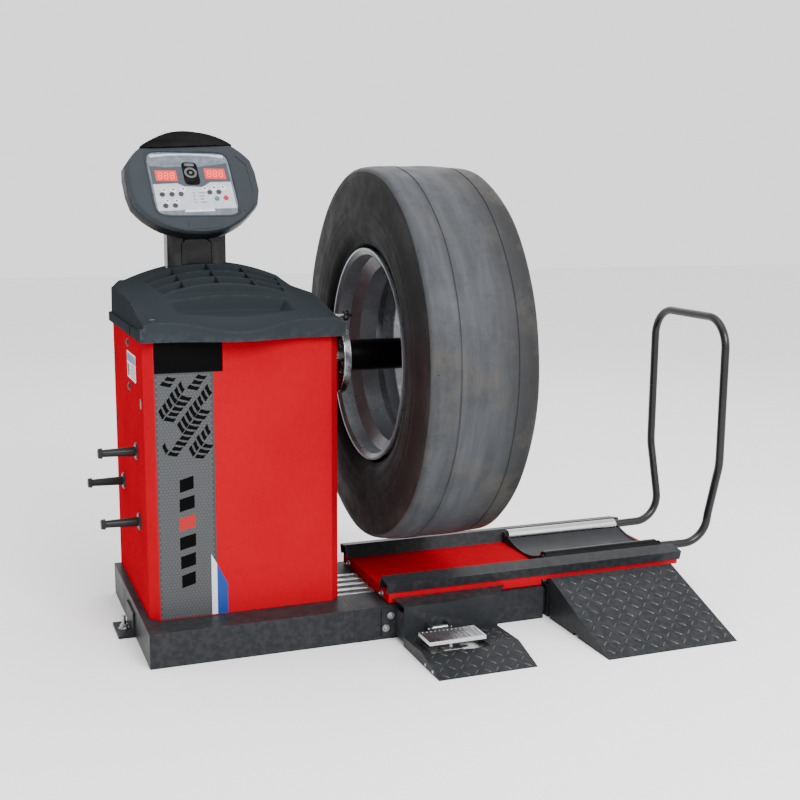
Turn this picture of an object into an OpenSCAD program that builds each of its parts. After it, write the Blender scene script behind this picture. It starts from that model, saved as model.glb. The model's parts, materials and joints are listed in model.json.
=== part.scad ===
// Truck wheel balancer with a pneumatic wheel lift.
// Frame: X along the spindle, away from the cabinet; Y towards the back; Z up.
// Origin: on the floor, below the spindle axis, in the plane of the flange face.

/* [Spindle] */
// Height of the spindle axis above the floor
shaft_z = 765; // [755:1:775]
// Diameter of the main shaft
shaft_d = 40; // [38:1:42]
// Diameter of the flange disc
flange_d = 210; // [190:5:230]
// Diameter of the black extension sleeve
sleeve_d = 87; // [80:1:95]
// Length of the extension sleeve
sleeve_len = 262; // [200:2:264]

/* [Cabinet] */
// Width of the cabinet along the spindle
cab_w = 525; // [515:1:535]
// Depth of the cabinet
cab_d = 548; // [540:1:560]
// Height of the cabinet's top edge above the floor
cab_top = 840; // [838:1:842]
// Chamfer on the two front corners
cab_chamfer = 24; // [16:1:30]
// Thickness of the cabinet's sheet steel
sheet = 2.5; // [2:0.5:3]

/* [Base] */
// Height of the base frame
base_h = 94; // [92:1:95]
// Thickness of the base frame's plate
base_t = 5; // [4:0.5:6]
// Width of the base under the wheel, front to back
ext_d = 428; // [420:1:430]

/* [Wheel] */
// Outer diameter of the tyre
tyre_d = 1050; // [1040:1:1052]
// Width of the tyre's section
tyre_w = 308; // [300:1:312]
// Diameter over the rim flanges
rim_d = 597; // [595:1:598]

/* [Lift] */
// Length of the red platform
deck_len = 933; // [928:1:936]
// Height of the deck's upper face
deck_z = 126; // [125:1:127]
// Length of one lifting arm between its pivots
arm_len = 190; // [190:1:191]
// Length of the sliding trolley
trolley_len = 400; // [390:1:405]
// Height of the trolley handle's top bar
handle_top = 849; // [820:1:870]

/* [Display] */
// Angle that the display leans back
head_tilt = 38; // [34:1:40]
// Angle that the display is turned towards the wheel
head_turn = 4; // [3:1:5]
// Width of the display head
head_w = 384; // [380:1:388]
// Height of the display head along its face
head_h = 366; // [362:1:370]

/* [Hidden] */
$fn = 96;
eps = 0.01;

// Colours
paint_dark = [0.20, 0.21, 0.22];
paint_red = [0.85, 0.09, 0.12];
plastic = [0.22, 0.24, 0.25];
black = [0.06, 0.06, 0.07];
steel = [0.72, 0.73, 0.75];
zinc = [0.62, 0.64, 0.66];
alu = [0.82, 0.84, 0.86];
rubber = [0.16, 0.16, 0.16];

// Base plan: a wide part below the cabinet and a narrow part below the wheel
base_x0 = -584;
base_x1 = 548;
base_xm = -30;
base_y0 = -ext_d / 2;
base_y1 = 434;
ext_y1 = ext_d / 2;
well_x0 = 100;
well_x1 = 540;
well_w = 250;

// Cabinet walls
cab_x1 = -39;
cab_x0 = cab_x1 - cab_w;
cab_y0 = -119;
cab_y1 = cab_y0 + cab_d;
cab_h = cab_top - base_h;

// Spindle drive
shaft_r = shaft_d / 2;
shaft_x0 = -410;
shaft_x1 = 520;
run_gap = 0.05;
pulley_x = -386;
pulley_w = 28;
pulley_r = 75;
motor_r = 22;
motor_y = 175;
motor_z = 560;
housing_r = 55;
bearing_r = 40;
bearing_w = 18;

// Wheel places, along the spindle
rim_x0 = 74;
rim_w = 278;
wheel_xc = rim_x0 + rim_w / 2;
disc_x0 = 363;
disc_t = 12;
bore_r = 140.5;

// Lift linkage
arm_z = 30;
arm_rise = 26;
arm_run = sqrt(arm_len * arm_len - arm_rise * arm_rise);
arm_pin_r = 8;
pivot_left = 350;
pivot_right = 520;
left_y = 95;
right_y = 71;
lever = 56;
lever_lean = 13;
push_z = arm_z + lever * cos(lever_lean);
push_x = pivot_left - lever * sin(lever_lean);

// Platform and trolley
deck_x0 = 75;
deck_x1 = deck_x0 + deck_len;
deck_t = 6;
deck_w = 400;
trolley_x0 = 585;
trolley_x1 = trolley_x0 + trolley_len;
roller_y = 122;
roller_z = 151;
roller_r = 19;
leg_y = 130;
leg_z = 150;

// Distance gauge
gauge_y = -10;
gauge_z = 879;
gauge_r = 5;

// Display head
head_pos = [-332, 354, 1247];
head_t = 46;
panel_c = [-2, -9];
panel_w = 244;
panel_h = 226;
panel_t = 3;
panel_sink = 5;
key_r = 7.5;
key_h = 10;
key_out = 3;

// Weight tray lid
lid_x0 = cab_x0 - 8;
lid_x1 = cab_x1 + 7;
lid_y0 = -144;
lid_y1 = 439;
lid_bulge = 40;
lip_z0 = 838;
lip_z1 = 883;
lid_t = 3;
fan_x = -290;
fan_y = -130;
fan_r0 = 330;
row_d = 68;
col_w = 102;
wall_t = 6;
pocket_z = [920, 929, 938];
trough_z = 890;
notch = [-405, 402, 180];

// --- helpers -------------------------------------------------------------

// A cylinder along +X that starts at x
module xcyl(x, len, r, y = 0, z = 0) {
    translate([x, y, z]) rotate([0, 90, 0]) cylinder(h = len, r = r);
}

// A cylinder along +Y that starts at y
module ycyl(y, len, r, x = 0, z = 0) {
    translate([x, y, z]) rotate([-90, 0, 0]) cylinder(h = len, r = r);
}

// A profile drawn in (Y, Z) and extruded along +X
module x_extrude(x, len) {
    translate([x, 0, 0]) rotate([90, 0, 90]) linear_extrude(len) children();
}

// A profile drawn as (distance from the spindle, X) and turned round the spindle
module turned() {
    translate([0, 0, shaft_z]) rotate([0, 90, 0]) rotate_extrude() children();
}

// A tube along the spindle
module shaft_ring(x, len, r_in, r_out) {
    turned() translate([r_in, x]) square([r_out - r_in, len]);
}

// The display head's own frame: X to the right, Y up the face, Z out of the face
module head_frame() {
    translate(head_pos) rotate([0, 0, head_turn]) rotate([90 - head_tilt, 0, 0]) children();
}

// --- base ----------------------------------------------------------------

// A lug with a pivot bore, standing on the floor plate
module base_lug(x, lug_y) {
    lug_t = 8;
    lug_w = 36;
    difference() {
        translate([x - lug_w / 2, lug_y - lug_t / 2, base_t]) cube([lug_w, lug_t, arm_z + 11]);
        ycyl(lug_y - lug_t, 2 * lug_t, arm_pin_r + run_gap, x, arm_z);
    }
}

// The lift's four pivot lugs and the two brackets that hold the frame to the floor
module base_brackets() {
    color(paint_dark) for (side = [-1, 1]) {
        base_lug(pivot_left, side * (left_y + 10.5));
        base_lug(pivot_right, side * (right_y + 10.5));
    }
    color(paint_dark) for (a = anchors)
        translate([a[0][0], a[0][1], 0]) rotate([0, 0, a[1]]) difference() {
            union() {
                translate([-foot_len, -60, 0]) cube([foot_len, 120, 8]);
                translate([-6, -60, 0]) cube([6, 120, 70]);
            }
            translate([-foot_len / 2, 0, -1]) cylinder(h = 10, r = 7);
        }
}

// A closed box of plate with low cross ribs, open towards the extension
module base_frame() {
    len = base_xm - base_x0;
    wid = base_y1 - base_y0;
    color(paint_dark) {
        difference() {
            translate([base_x0, base_y0, 0]) cube([len, wid, base_h]);
            translate([base_x0 + base_t, base_y0 + base_t, base_t])
                cube([len - 2 * base_t, wid - 2 * base_t, base_h - 2 * base_t]);
            translate([base_xm - 2 * base_t, base_y0 + 20, 20])
                cube([4 * base_t, ext_d - 40, base_h - 40]);
        }
        for (x = [-440, -250])
            translate([x, base_y0 + 1, 1]) cube([base_t, wid - 2, 59]);
    }
}

// The part below the wheel, with a well for the lifting arms
module base_extension() {
    len = base_x1 - base_xm;
    color(paint_dark) difference() {
        translate([base_xm, base_y0, 0]) cube([len, ext_d, base_h]);
        translate([base_xm - 1, base_y0 + base_t, base_t])
            cube([len - base_t + 1, ext_d - 2 * base_t, base_h - 2 * base_t]);
        translate([well_x0, -well_w / 2, base_h - 2 * base_t])
            cube([well_x1 - well_x0, well_w, 3 * base_t]);
    }
}

module rail_cover() {
    x0 = cab_x1 + 1;
    len = deck_x0 - x0 - 2;
    rib_pitch = 44;
    rib_w = 36;
    color(alu) {
        translate([x0, -2 * rib_pitch, base_h]) cube([len, 4 * rib_pitch, 2.5]);
        for (i = [-1.5 : 1 : 1.5])
            x_extrude(x0, len) intersection() {
                translate([i * rib_pitch, base_h - 17]) circle(r = 25);
                translate([i * rib_pitch - rib_w / 2, base_h + 1]) square([rib_w, 8]);
            }
    }
}

// Places of the two floor anchors and the turn of each bracket
anchors = [[[base_x0, 92], 0], [[-250, base_y1], -90]];
foot_len = 46;

module anchor_bolts() {
    color(zinc) for (a = anchors)
        translate([a[0][0], a[0][1], 0]) rotate([0, 0, a[1]]) translate([-foot_len / 2, 0, 0]) {
            cylinder(h = 46, r = 6);
            translate([0, 0, 8]) cylinder(h = 3, r = 15);
            translate([0, 0, 10]) cylinder(h = 11, r = 11, $fn = 6);
        }
}

// --- cabinet -------------------------------------------------------------

module cabinet_plan(inset = 0) {
    c = cab_chamfer + inset * 0.4;
    x0 = cab_x0 + inset;
    x1 = cab_x1 - inset;
    y0 = cab_y0 + inset;
    polygon([
        [x0 + c - inset, y0], [x1 - c + inset, y0], [x1, y0 + c - inset],
        [x1, cab_y1 - inset], [x0, cab_y1 - inset], [x0, y0 + c - inset]
    ]);
}

module cabinet_shell() {
    flange = 20;
    color(paint_red) difference() {
        union() {
            translate([0, 0, base_h]) linear_extrude(cab_h) difference() {
                cabinet_plan();
                cabinet_plan(sheet);
            }
            translate([0, 0, base_h]) linear_extrude(sheet) difference() {
                cabinet_plan();
                cabinet_plan(sheet + flange);
            }
        }
        // open back between two flanges
        translate([cab_x0 + flange, cab_y1 - flange - 2 * sheet, base_h + flange])
            cube([cab_w - 2 * flange, 2 * flange, cab_h]);
        // spindle opening in the right wall
        xcyl(cab_x1 - 2 * sheet, 4 * sheet, 62, 0, shaft_z);
    }
}

// Places on the back panel: mains inlet, power switch and air inlet
inlet_x = -480;
switch_x = -410;
inlet_z = 190;
air_x = -150;
panel_y = cab_y1 - sheet;
switch_y = panel_y - 3;

module cabinet_back_panel() {
    x0 = cab_x0 + sheet + 1;
    w = cab_w - 2 * sheet - 2;
    color(paint_red) difference() {
        translate([x0, panel_y - sheet, base_h + sheet + 1]) cube([w, sheet, cab_h - sheet - 6]);
        for (row = [0 : 9], col = [0 : 3])
            translate([cab_x0 + 90 + col * 95, panel_y - 2 * sheet, 380 + row * 16])
                cube([70, 4 * sheet, 6]);
        translate([inlet_x - 24, panel_y - 2 * sheet, inlet_z - 14]) cube([48, 4 * sheet, 28]);
        translate([switch_x - 11, panel_y - 2 * sheet, inlet_z - 15]) cube([22, 4 * sheet, 30]);
        ycyl(panel_y - 2 * sheet, 4 * sheet, 9, air_x, inlet_z);
    }
}

module tool_pegs() {
    // [y, z] of each peg on the left wall
    places = [[36, 524], [301, 382], [23, 332]];
    peg_len = 104;
    color(black) for (p = places) translate([cab_x0, p[0], p[1]]) rotate([0, -90, 0]) {
        cylinder(h = 5, r1 = 25, r2 = 22);
        cylinder(h = peg_len - 12, r1 = 13, r2 = 10);
        translate([0, 0, peg_len - 12]) cylinder(h = 12, r1 = 15, r2 = 13);
    }
}

module side_plugs() {
    color(black) for (p = [[136, 808], [128, 688]])
        translate([cab_x0, p[0], p[1]]) rotate([0, -90, 0]) intersection() {
            translate([0, 0, -9]) sphere(r = 15);
            cylinder(h = 8, r = 14);
        }
}

// --- weight tray lid ------------------------------------------------------

// Forward bulge of the lid's front edge at a place x along it
function bulge(x) = let (u = abs(x - fan_x + 30) / 190)
    u >= 1 ? 0 : lid_bulge * (0.5 + 0.5 * cos(180 * u));
function smooth(t) = let (c = min(1, max(0, t))) c * c * (3 - 2 * c);
// Height of the lid's upper face
function lid_h(x, y) =
    let (edge = min(x - lid_x0, lid_x1 - x), back = (y + 144) / 540, rise = smooth((y + 144) / 300),
         crown = max(0, 1 - pow((x - fan_x) / 238, 2)), k = smooth(edge / 34),
         inner = lip_z1 + 5 + back * (64 + 49 * crown),
         dip = 16 * bulge(x) / lid_bulge * (1 - min(1, max(0, back * 8))))
    (lip_z1 + 50 * rise) * (1 - k) + inner * k - dip;

lid_nx = 34;
lid_ny = 14;
function lid_px(i) = lid_x0 + (lid_x1 - lid_x0) * i / lid_nx;
function lid_py(i, j) = let (front = lid_y0 - bulge(lid_px(i))) front + (lid_y1 - front) * j / lid_ny;

// A closed solid between the lid's upper face lowered by two depths
module lid_slab(top, bottom) {
    n = (lid_nx + 1) * (lid_ny + 1);
    grid = [for (i = [0 : lid_nx], j = [0 : lid_ny]) [lid_px(i), lid_py(i, j)]];
    points = concat(
        [for (p = grid) [p[0], p[1], lid_h(p[0], p[1]) - top]],
        [for (p = grid) [p[0], p[1], lid_h(p[0], p[1]) - bottom]]
    );
    function id(i, j, low) = i * (lid_ny + 1) + j + (low ? n : 0);
    faces = concat(
        [for (i = [0 : lid_nx - 1], j = [0 : lid_ny - 1])
            [id(i, j), id(i, j + 1), id(i + 1, j + 1), id(i + 1, j)]],
        [for (i = [0 : lid_nx - 1], j = [0 : lid_ny - 1])
            [id(i, j, true), id(i + 1, j, true), id(i + 1, j + 1, true), id(i, j + 1, true)]],
        [for (i = [0 : lid_nx - 1]) [id(i, 0), id(i + 1, 0), id(i + 1, 0, true), id(i, 0, true)]],
        [for (i = [0 : lid_nx - 1])
            [id(i, lid_ny), id(i, lid_ny, true), id(i + 1, lid_ny, true), id(i + 1, lid_ny)]],
        [for (j = [0 : lid_ny - 1]) [id(0, j), id(0, j, true), id(0, j + 1, true), id(0, j + 1)]],
        [for (j = [0 : lid_ny - 1])
            [id(lid_nx, j), id(lid_nx, j + 1), id(lid_nx, j + 1, true), id(lid_nx, j, true)]]
    );
    polyhedron(points = points, faces = faces, convexity = 8);
}

// The lid's outline, moved inwards by a wall
module lid_plan(inset = 0) {
    steps = 26;
    front = [for (i = [0 : steps]) let (x = lid_x0 + inset + (lid_x1 - lid_x0 - 2 * inset) * i / steps)
        [x, lid_y0 + inset - bulge(x)]];
    polygon(concat(front, [[lid_x1 - inset, lid_y1 - inset], [lid_x0 + inset, lid_y1 - inset]]));
}

// Plan of one weight pocket, grown by a wall
module pocket_plan(row, col, grow = 0) {
    r0 = fan_r0 + row * row_d;
    intersection() {
        translate([fan_x, fan_y]) difference() {
            circle(r = r0 + row_d - wall_t + grow, $fn = 180);
            circle(r = r0 - grow, $fn = 180);
        }
        translate([fan_x + col * col_w + wall_t / 2 - grow, 0])
            square([col_w - wall_t + 2 * grow, 500]);
        // the two ends of each row follow slanted walls
        polygon([
            [fan_x - 168 - grow, 120], [fan_x + 168 + grow, 120],
            [fan_x + 206 + grow, 405], [fan_x - 206 - grow, 405]
        ]);
    }
}

// Plan of the curved trough in front of the pockets
module trough_plan(grow = 0) {
    intersection() {
        translate([fan_x - 10, 330]) circle(r = 400 + grow, $fn = 180);
        translate([fan_x - 10, -390]) circle(r = 480 + grow, $fn = 180);
        translate([fan_x - 170 - grow, -200]) square([320 + 2 * grow, 400]);
    }
}

module pocket_prisms(grow, floor_drop) {
    for (row = [0 : 2], col = [-2 : 1])
        translate([0, 0, pocket_z[row] - floor_drop]) linear_extrude(140) pocket_plan(row, col, grow);
    translate([0, 0, trough_z - floor_drop]) linear_extrude(140) trough_plan(grow);
}

// Seats of the two lid screws
module screw_seats(r, h) {
    for (x = [lid_x0 + 34, lid_x1 - 34])
        translate([x, -112, lid_h(x, -112) - 1.5]) cylinder(h = h, r = r);
}

module weight_tray_lid() {
    color(plastic) difference() {
        union() {
            lid_slab(0, lid_t);
            difference() {
                translate([0, 0, lip_z0]) linear_extrude(190) difference() {
                    lid_plan();
                    lid_plan(lid_t);
                }
                lid_slab(-300, eps);
            }
            // ledge that rests on the cabinet's top edge
            translate([0, 0, cab_top]) linear_extrude(lid_t) difference() {
                lid_plan(1);
                lid_plan(14);
            }
            intersection() {
                pocket_prisms(lid_t, lid_t);
                lid_slab(eps, 70);
            }
        }
        pocket_prisms(0, 0);
        screw_seats(7.5, 30);
        // notch round the display column
        translate([notch[0], notch[1], 800]) cube([notch[2], 100, 300]);
        xcyl(lid_x1 - 6 * lid_t, 9 * lid_t, 7.5, gauge_y, gauge_z);
    }
}

// --- spindle and drive ----------------------------------------------------

module spindle_bracket() {
    plate = 10;
    post_x = -330;
    post_len = 240;
    color(paint_dark) {
        for (side = [-1, 1])
            translate([post_x, side * 50 - plate / 2, base_h]) cube([post_len, plate, 606]);
        translate([post_x, -55, base_h]) cube([post_len, 110, plate]);
        translate([post_x, -55, 690]) cube([post_len, 110, plate]);
        // motor plate, with the hole for the motor's shaft
        difference() {
            translate([post_x - 8, -45, 480]) cube([8 + eps, 290, 160]);
            xcyl(post_x - 20, 40, 16, motor_y, motor_z);
        }
    }
}

module spindle_housing() {
    x0 = -340;
    len = 296;
    color(paint_dark) {
        difference() {
            xcyl(x0, len, housing_r, 0, shaft_z);
            xcyl(x0 - 1, len + 2, bearing_r - 4, 0, shaft_z);
            for (x = [x0 - 1, x0 + len - bearing_w - 4])
                xcyl(x, bearing_w + 5, bearing_r, 0, shaft_z);
        }
        // guide block of the distance gauge
        difference() {
            translate([-130, gauge_y - 12, 812]) cube([40, 24, 74]);
            xcyl(-140, 60, gauge_r + run_gap, gauge_y, gauge_z);
        }
        for (x = [-300, -150])
            difference() {
                translate([x, -34, 709.5]) cube([30, 68, 42.5]);
                xcyl(x - 1, 32, bearing_r, 0, shaft_z);
            }
    }
}

module bearing(x) {
    balls = 9;
    color(steel) {
        shaft_ring(x, bearing_w, shaft_r + run_gap, 26);
        shaft_ring(x, bearing_w, 34, bearing_r);
        for (i = [0 : balls - 1])
            translate([x + bearing_w / 2, 0, shaft_z]) rotate([i * 360 / balls, 0, 0])
                translate([0, 0, 30]) sphere(r = 4.6, $fn = 32);
        shaft_ring(x + bearing_w / 2 - 1.5, 3, 25.5, 34.5);
    }
}

module spindle_bearings() {
    bearing(-340 + 4);
    bearing(-340 + 296 - bearing_w - 4);
}

module force_sensors() {
    color(steel) for (x = [-285, -135])
        translate([x, 0, 700]) cylinder(h = 9.5, r = 15);
}

module main_shaft() {
    color(steel) difference() {
        xcyl(shaft_x0, shaft_x1 - shaft_x0, shaft_r, 0, shaft_z);
        // turned grooves of the thread's run-out
        for (x = [388, 454, 516]) shaft_ring(x, 2, shaft_r - 1.5, shaft_r + 1);
    }
}

module shaft_pulley() {
    color(zinc) difference() {
        shaft_ring(pulley_x - pulley_w / 2, pulley_w, shaft_r, pulley_r + 2);
        shaft_ring(pulley_x - 11, 22, pulley_r, pulley_r + 5);
    }
}

module motor_pulley() {
    color(zinc) {
        difference() {
            xcyl(pulley_x - pulley_w / 2, pulley_w, motor_r + 2, motor_y, motor_z);
            difference() {
                xcyl(pulley_x - 11, 22, motor_r + 5, motor_y, motor_z);
                xcyl(pulley_x - 12, 24, motor_r, motor_y, motor_z);
            }
        }
        xcyl(pulley_x, 90, 8, motor_y, motor_z);
    }
}

module belt_loop(grow) {
    hull() {
        translate([0, shaft_z]) circle(r = pulley_r + grow, $fn = 64);
        translate([motor_y, motor_z]) circle(r = motor_r + grow, $fn = 64);
    }
}

module drive_belt() {
    color(black) x_extrude(pulley_x - 9, 18) difference() {
        belt_loop(3.3);
        belt_loop(0.6);
    }
}

module drive_motor() {
    x0 = -329.5;
    len = 170;
    fins = 16;
    color([0.30, 0.33, 0.36]) difference() {
        union() {
            xcyl(x0, len, 52, motor_y, motor_z);
            for (i = [0 : fins - 1])
                translate([x0 + 15, motor_y, motor_z]) rotate([i * 360 / fins, 0, 0])
                    translate([0, -1.5, 45]) cube([len - 40, 3, 13]);
        }
        xcyl(x0 - 1, 60, 8 + run_gap, motor_y, motor_z);
    }
}

module control_board() {
    x0 = cab_x0 + sheet;
    color([0.10, 0.32, 0.18]) translate([x0 + 14, 90, 330]) cube([2, 220, 280]);
    color(zinc) for (y = [100, 300], z = [340, 600]) xcyl(x0, 14, 4, y, z);
    color(black) for (i = [0 : 3]) translate([x0 + 16, 110 + i * 48, 360]) cube([18, 30, 40]);
    color(black) for (i = [0 : 2]) xcyl(x0 + 16, 34, 13, 130 + i * 60, 540);
    color(zinc) translate([x0 + 16, 120, 440]) cube([30, 150, 40]);
}

module flange_disc() {
    bolts = 6;
    color(steel) difference() {
        shaft_ring(-20, 20, shaft_r, flange_d / 2);
        for (i = [0 : bolts - 1])
            translate([0, 0, shaft_z]) rotate([i * 360 / bolts, 0, 0]) xcyl(-21, 22, 5, 0, 75);
    }
}

module shaft_sleeve() {
    color(black) shaft_ring(0, sleeve_len, shaft_r, sleeve_d / 2);
}

// A shell cone that centres the wheel in its bore
module centering_cone() {
    x0 = 310;
    x1 = 378;
    slope = 0.4;
    function cone_r(x) = bore_r - 0.2 - slope * (x - disc_x0);
    color(zinc) {
        shaft_ring(sleeve_len, x1 - sleeve_len, shaft_r, 34);
        turned() polygon([
            [cone_r(x0) - 9, x0], [cone_r(x0), x0], [cone_r(x1), x1], [30, x1],
            [30, x1 - 10], [cone_r(x1) - 12, x1 - 10]
        ]);
    }
}

// --- wheel on the spindle -------------------------------------------------

module wheel_rim() {
    seat = 285.8;
    lip = rim_d / 2;
    t = 8;
    studs = 10;
    x0 = rim_x0;
    x1 = rim_x0 + rim_w;
    color([0.60, 0.62, 0.63]) {
        // rolled rim with its two flanges and drop centre
        turned() polygon([
            [lip, x0], [lip, x0 + 7], [seat + 2, x0 + 11], [seat, x0 + 50], [seat - 26, x0 + 74],
            [seat - 26, x0 + 120], [seat - 6, x0 + 150], [seat, x1 - 50], [seat + 2, x1 - 11],
            [lip, x1 - 7], [lip, x1], [lip - 6, x1], [seat - 5, x1 - 8], [seat - t, x1 - 52],
            [seat - 6 - t, x0 + 152], [seat - 26 - t, x0 + 124], [seat - 26 - t, x0 + 72],
            [seat - t, x0 + 46], [seat - 5, x0 + 8], [lip - 6, x0]
        ]);
        // wheel disc: a dished web down to the flat hub face
        difference() {
            turned() polygon([
                [seat - 7, 262], [seat - 7, 278], [258, 318], [240, 356], [222, disc_x0 + disc_t],
                [bore_r, disc_x0 + disc_t], [bore_r, disc_x0], [218, disc_x0], [230, 350],
                [248, 308], [seat - 16, 262]
            ]);
            for (i = [0 : studs - 1]) translate([0, 0, shaft_z]) rotate([i * 360 / studs, 0, 0]) {
                xcyl(disc_x0 - 5, disc_t + 10, 13, 0, 167.5);
                rotate([180 / studs, 0, 0]) xcyl(290, 90, 19, 0, 240);
            }
        }
    }
}

module tyre() {
    r = tyre_d / 2;
    h = tyre_w / 2;
    xc = wheel_xc;
    bead = 288.2;
    wall = 20;
    // half section from the tread's centre to the bead, as [radius, distance from the centre]
    outer = [[r, 0], [r - 1, 90], [r - 3, 128], [r - 8, 142], [r - 20, 148], [r - 62, h - 3],
        [r - 100, h], [r - 150, h - 3], [r - 195, h - 14], [rim_d / 2 + 4, h - 32],
        [rim_d / 2 + 0.5, h - 15.5 - 7.5], [bead + 3, h - 34], [bead, h - 44]];
    inner = [[bead, h - 62], [bead + 30, h - 58], [r - 190, h - 34], [r - 150, h - 22],
        [r - 100, h - wall], [r - 62, h - 30], [r - 40, 110], [r - 30, 60], [r - 28, 0]];
    half = concat(outer, inner);
    mirrored = [for (i = [len(half) - 2 : -1 : 1]) [half[i][0], -half[i][1]]];
    color(rubber) difference() {
        turned() translate([0, xc]) polygon(concat(half, mirrored));
        // two shallow wear grooves round the tread
        for (x = [-62, 62]) shaft_ring(xc + x - 2, 4, r - 4, r + 5);
    }
}

module clamp_nut() {
    x0 = disc_x0 + disc_t + 0.4;
    hub_len = 74;
    bars = 3;
    color(zinc) {
        shaft_ring(x0 + 12, hub_len - 12, shaft_r + run_gap, 38);
        turned() polygon([
            [146, x0], [158, x0], [158, x0 + 10], [60, x0 + 34], [36, x0 + 34], [36, x0 + 22],
            [60, x0 + 22], [146, x0 + 4]
        ]);
        for (i = [0 : bars - 1]) translate([0, 0, shaft_z]) rotate([i * 360 / bars, 0, 0]) {
            translate([x0 + 52, 0, 30]) cylinder(h = 75, r = 8);
            translate([x0 + 52, 0, 105]) sphere(r = 13);
        }
    }
}

// --- lift ----------------------------------------------------------------

// A pair of lifting bars on a cross shaft; the platform end has two pin bores
module lift_arms(x, bar_y, bore) {
    bar_t = 10;
    bar_h = 22;
    hub_r = 13;
    angle = asin(arm_rise / arm_len);
    color(paint_dark) {
        for (side = [-1, 1]) difference() {
            translate([x, side * bar_y, arm_z]) rotate([0, angle, 0]) union() {
                translate([-arm_len, -bar_t / 2, -bar_h / 2]) cube([arm_len, bar_t, bar_h]);
                ycyl(-bar_t / 2, bar_t, hub_r);
                ycyl(-bar_t / 2, bar_t, hub_r, -arm_len);
            }
            ycyl(side * bar_y - bar_t, 2 * bar_t, bore, x - arm_run, arm_z + arm_rise);
        }
        ycyl(-bar_y - 15, 2 * bar_y + 30, arm_pin_r, x, arm_z);
        ycyl(-bar_y, 2 * bar_y, arm_pin_r + 1, x, arm_z);
    }
}

module lift_arms_left() {
    lift_arms(pivot_left, left_y, arm_pin_r + run_gap);
    // lever with the pin that the cylinder pushes
    color(paint_dark) {
        translate([pivot_left, 0, arm_z]) rotate([0, -lever_lean, 0])
            translate([-9, -5, -4]) cube([18, 10, lever + 12]);
        ycyl(-13, 26, 5, push_x, push_z);
    }
}

module lift_arms_right() {
    lift_arms(pivot_right, right_y, arm_pin_r + 0.5);
}

module lift_cylinder() {
    x0 = 110;
    len = 160;
    r = 29;
    color(zinc) {
        difference() {
            xcyl(x0, len, r, 0, push_z);
            xcyl(x0 + 12, len - 24, r - 5, 0, push_z);
            xcyl(x0 + len - 20, 40, 8 + run_gap, 0, push_z);
        }
        for (x = [x0, x0 + len - 14]) difference() {
            translate([x, -r - 4, base_t]) cube([14, 2 * r + 8, push_z + r - base_t - 1]);
            xcyl(x - 1, 16, r - 5, 0, push_z);
        }
    }
}

module cylinder_rod() {
    slot = 5.35;
    color(steel) {
        xcyl(150, push_x - 150 - 20, 8, 0, push_z);
        xcyl(140, 14, 23.7, 0, push_z);
        difference() {
            translate([push_x - 26, -12, push_z - 14]) cube([40, 24, 28]);
            translate([push_x - 16, -6, push_z - 20]) cube([40, 12, 40]);
            for (z = [-3, 3]) ycyl(-20, 40, slot, push_x, push_z + z);
            translate([push_x - slot, -20, push_z - 3]) cube([2 * slot, 40, 6]);
        }
    }
}

// A hanging lug of the platform, with the pin that carries a lifting arm
module deck_lug(x, bar_y, side) {
    lug_t = 8;
    lug_y = side * (bar_y - 11);
    z = arm_z + arm_rise;
    translate([x - 16, lug_y - lug_t / 2, z - 12]) cube([32, lug_t, deck_z - deck_t - z + 12]);
    ycyl(lug_y + (side > 0 ? 0 : -16.5), 16.5, arm_pin_r, x, z);
}

module platform_deck() {
    skirt = 6;
    half = deck_w / 2;
    color(paint_red) {
        difference() {
            translate([deck_x0, -half, deck_z - deck_t]) cube([deck_len, deck_w, deck_t]);
            // seam between the two deck plates
            translate([deck_x0 - 1, 4, deck_z - 1]) cube([deck_len + 2, 1.5, 2]);
        }
        for (y = [-half, half - skirt]) {
            translate([deck_x0, y, base_h + 3]) cube([base_x1 - deck_x0, skirt, deck_z - base_h - 4]);
            translate([deck_x0, y, deck_z - 14]) cube([deck_len, skirt, 13]);
        }
        // end plates
        for (x = [deck_x0, deck_x1 - skirt])
            translate([x, -half, deck_z - 14]) cube([skirt, deck_w, 13]);
        translate([deck_x0, -half, base_h + 3]) cube([skirt, deck_w, deck_z - base_h - 4]);
    }
}

// One side rail: inner wall, sloping top and outer face
module rail_profile() {
    t = 4;
    polygon([
        [140, deck_z], [157, deck_z + 37], [211, deck_z + 27], [203, deck_z],
        [203 - t, deck_z], [206, deck_z + 24], [160, deck_z + 32.5], [140 + t + 0.5, deck_z]
    ]);
}

module platform_rails() {
    x0 = deck_x0 - 7;
    len = deck_len + 14;
    color(paint_dark) x_extrude(x0, len) {
        rail_profile();
        mirror([1, 0]) rail_profile();
    }
    // hinge lugs under the deck
    color(paint_dark) for (side = [-1, 1]) {
        deck_lug(pivot_left - arm_run, left_y, side);
        deck_lug(pivot_right - arm_run, right_y, side);
    }
}

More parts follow.
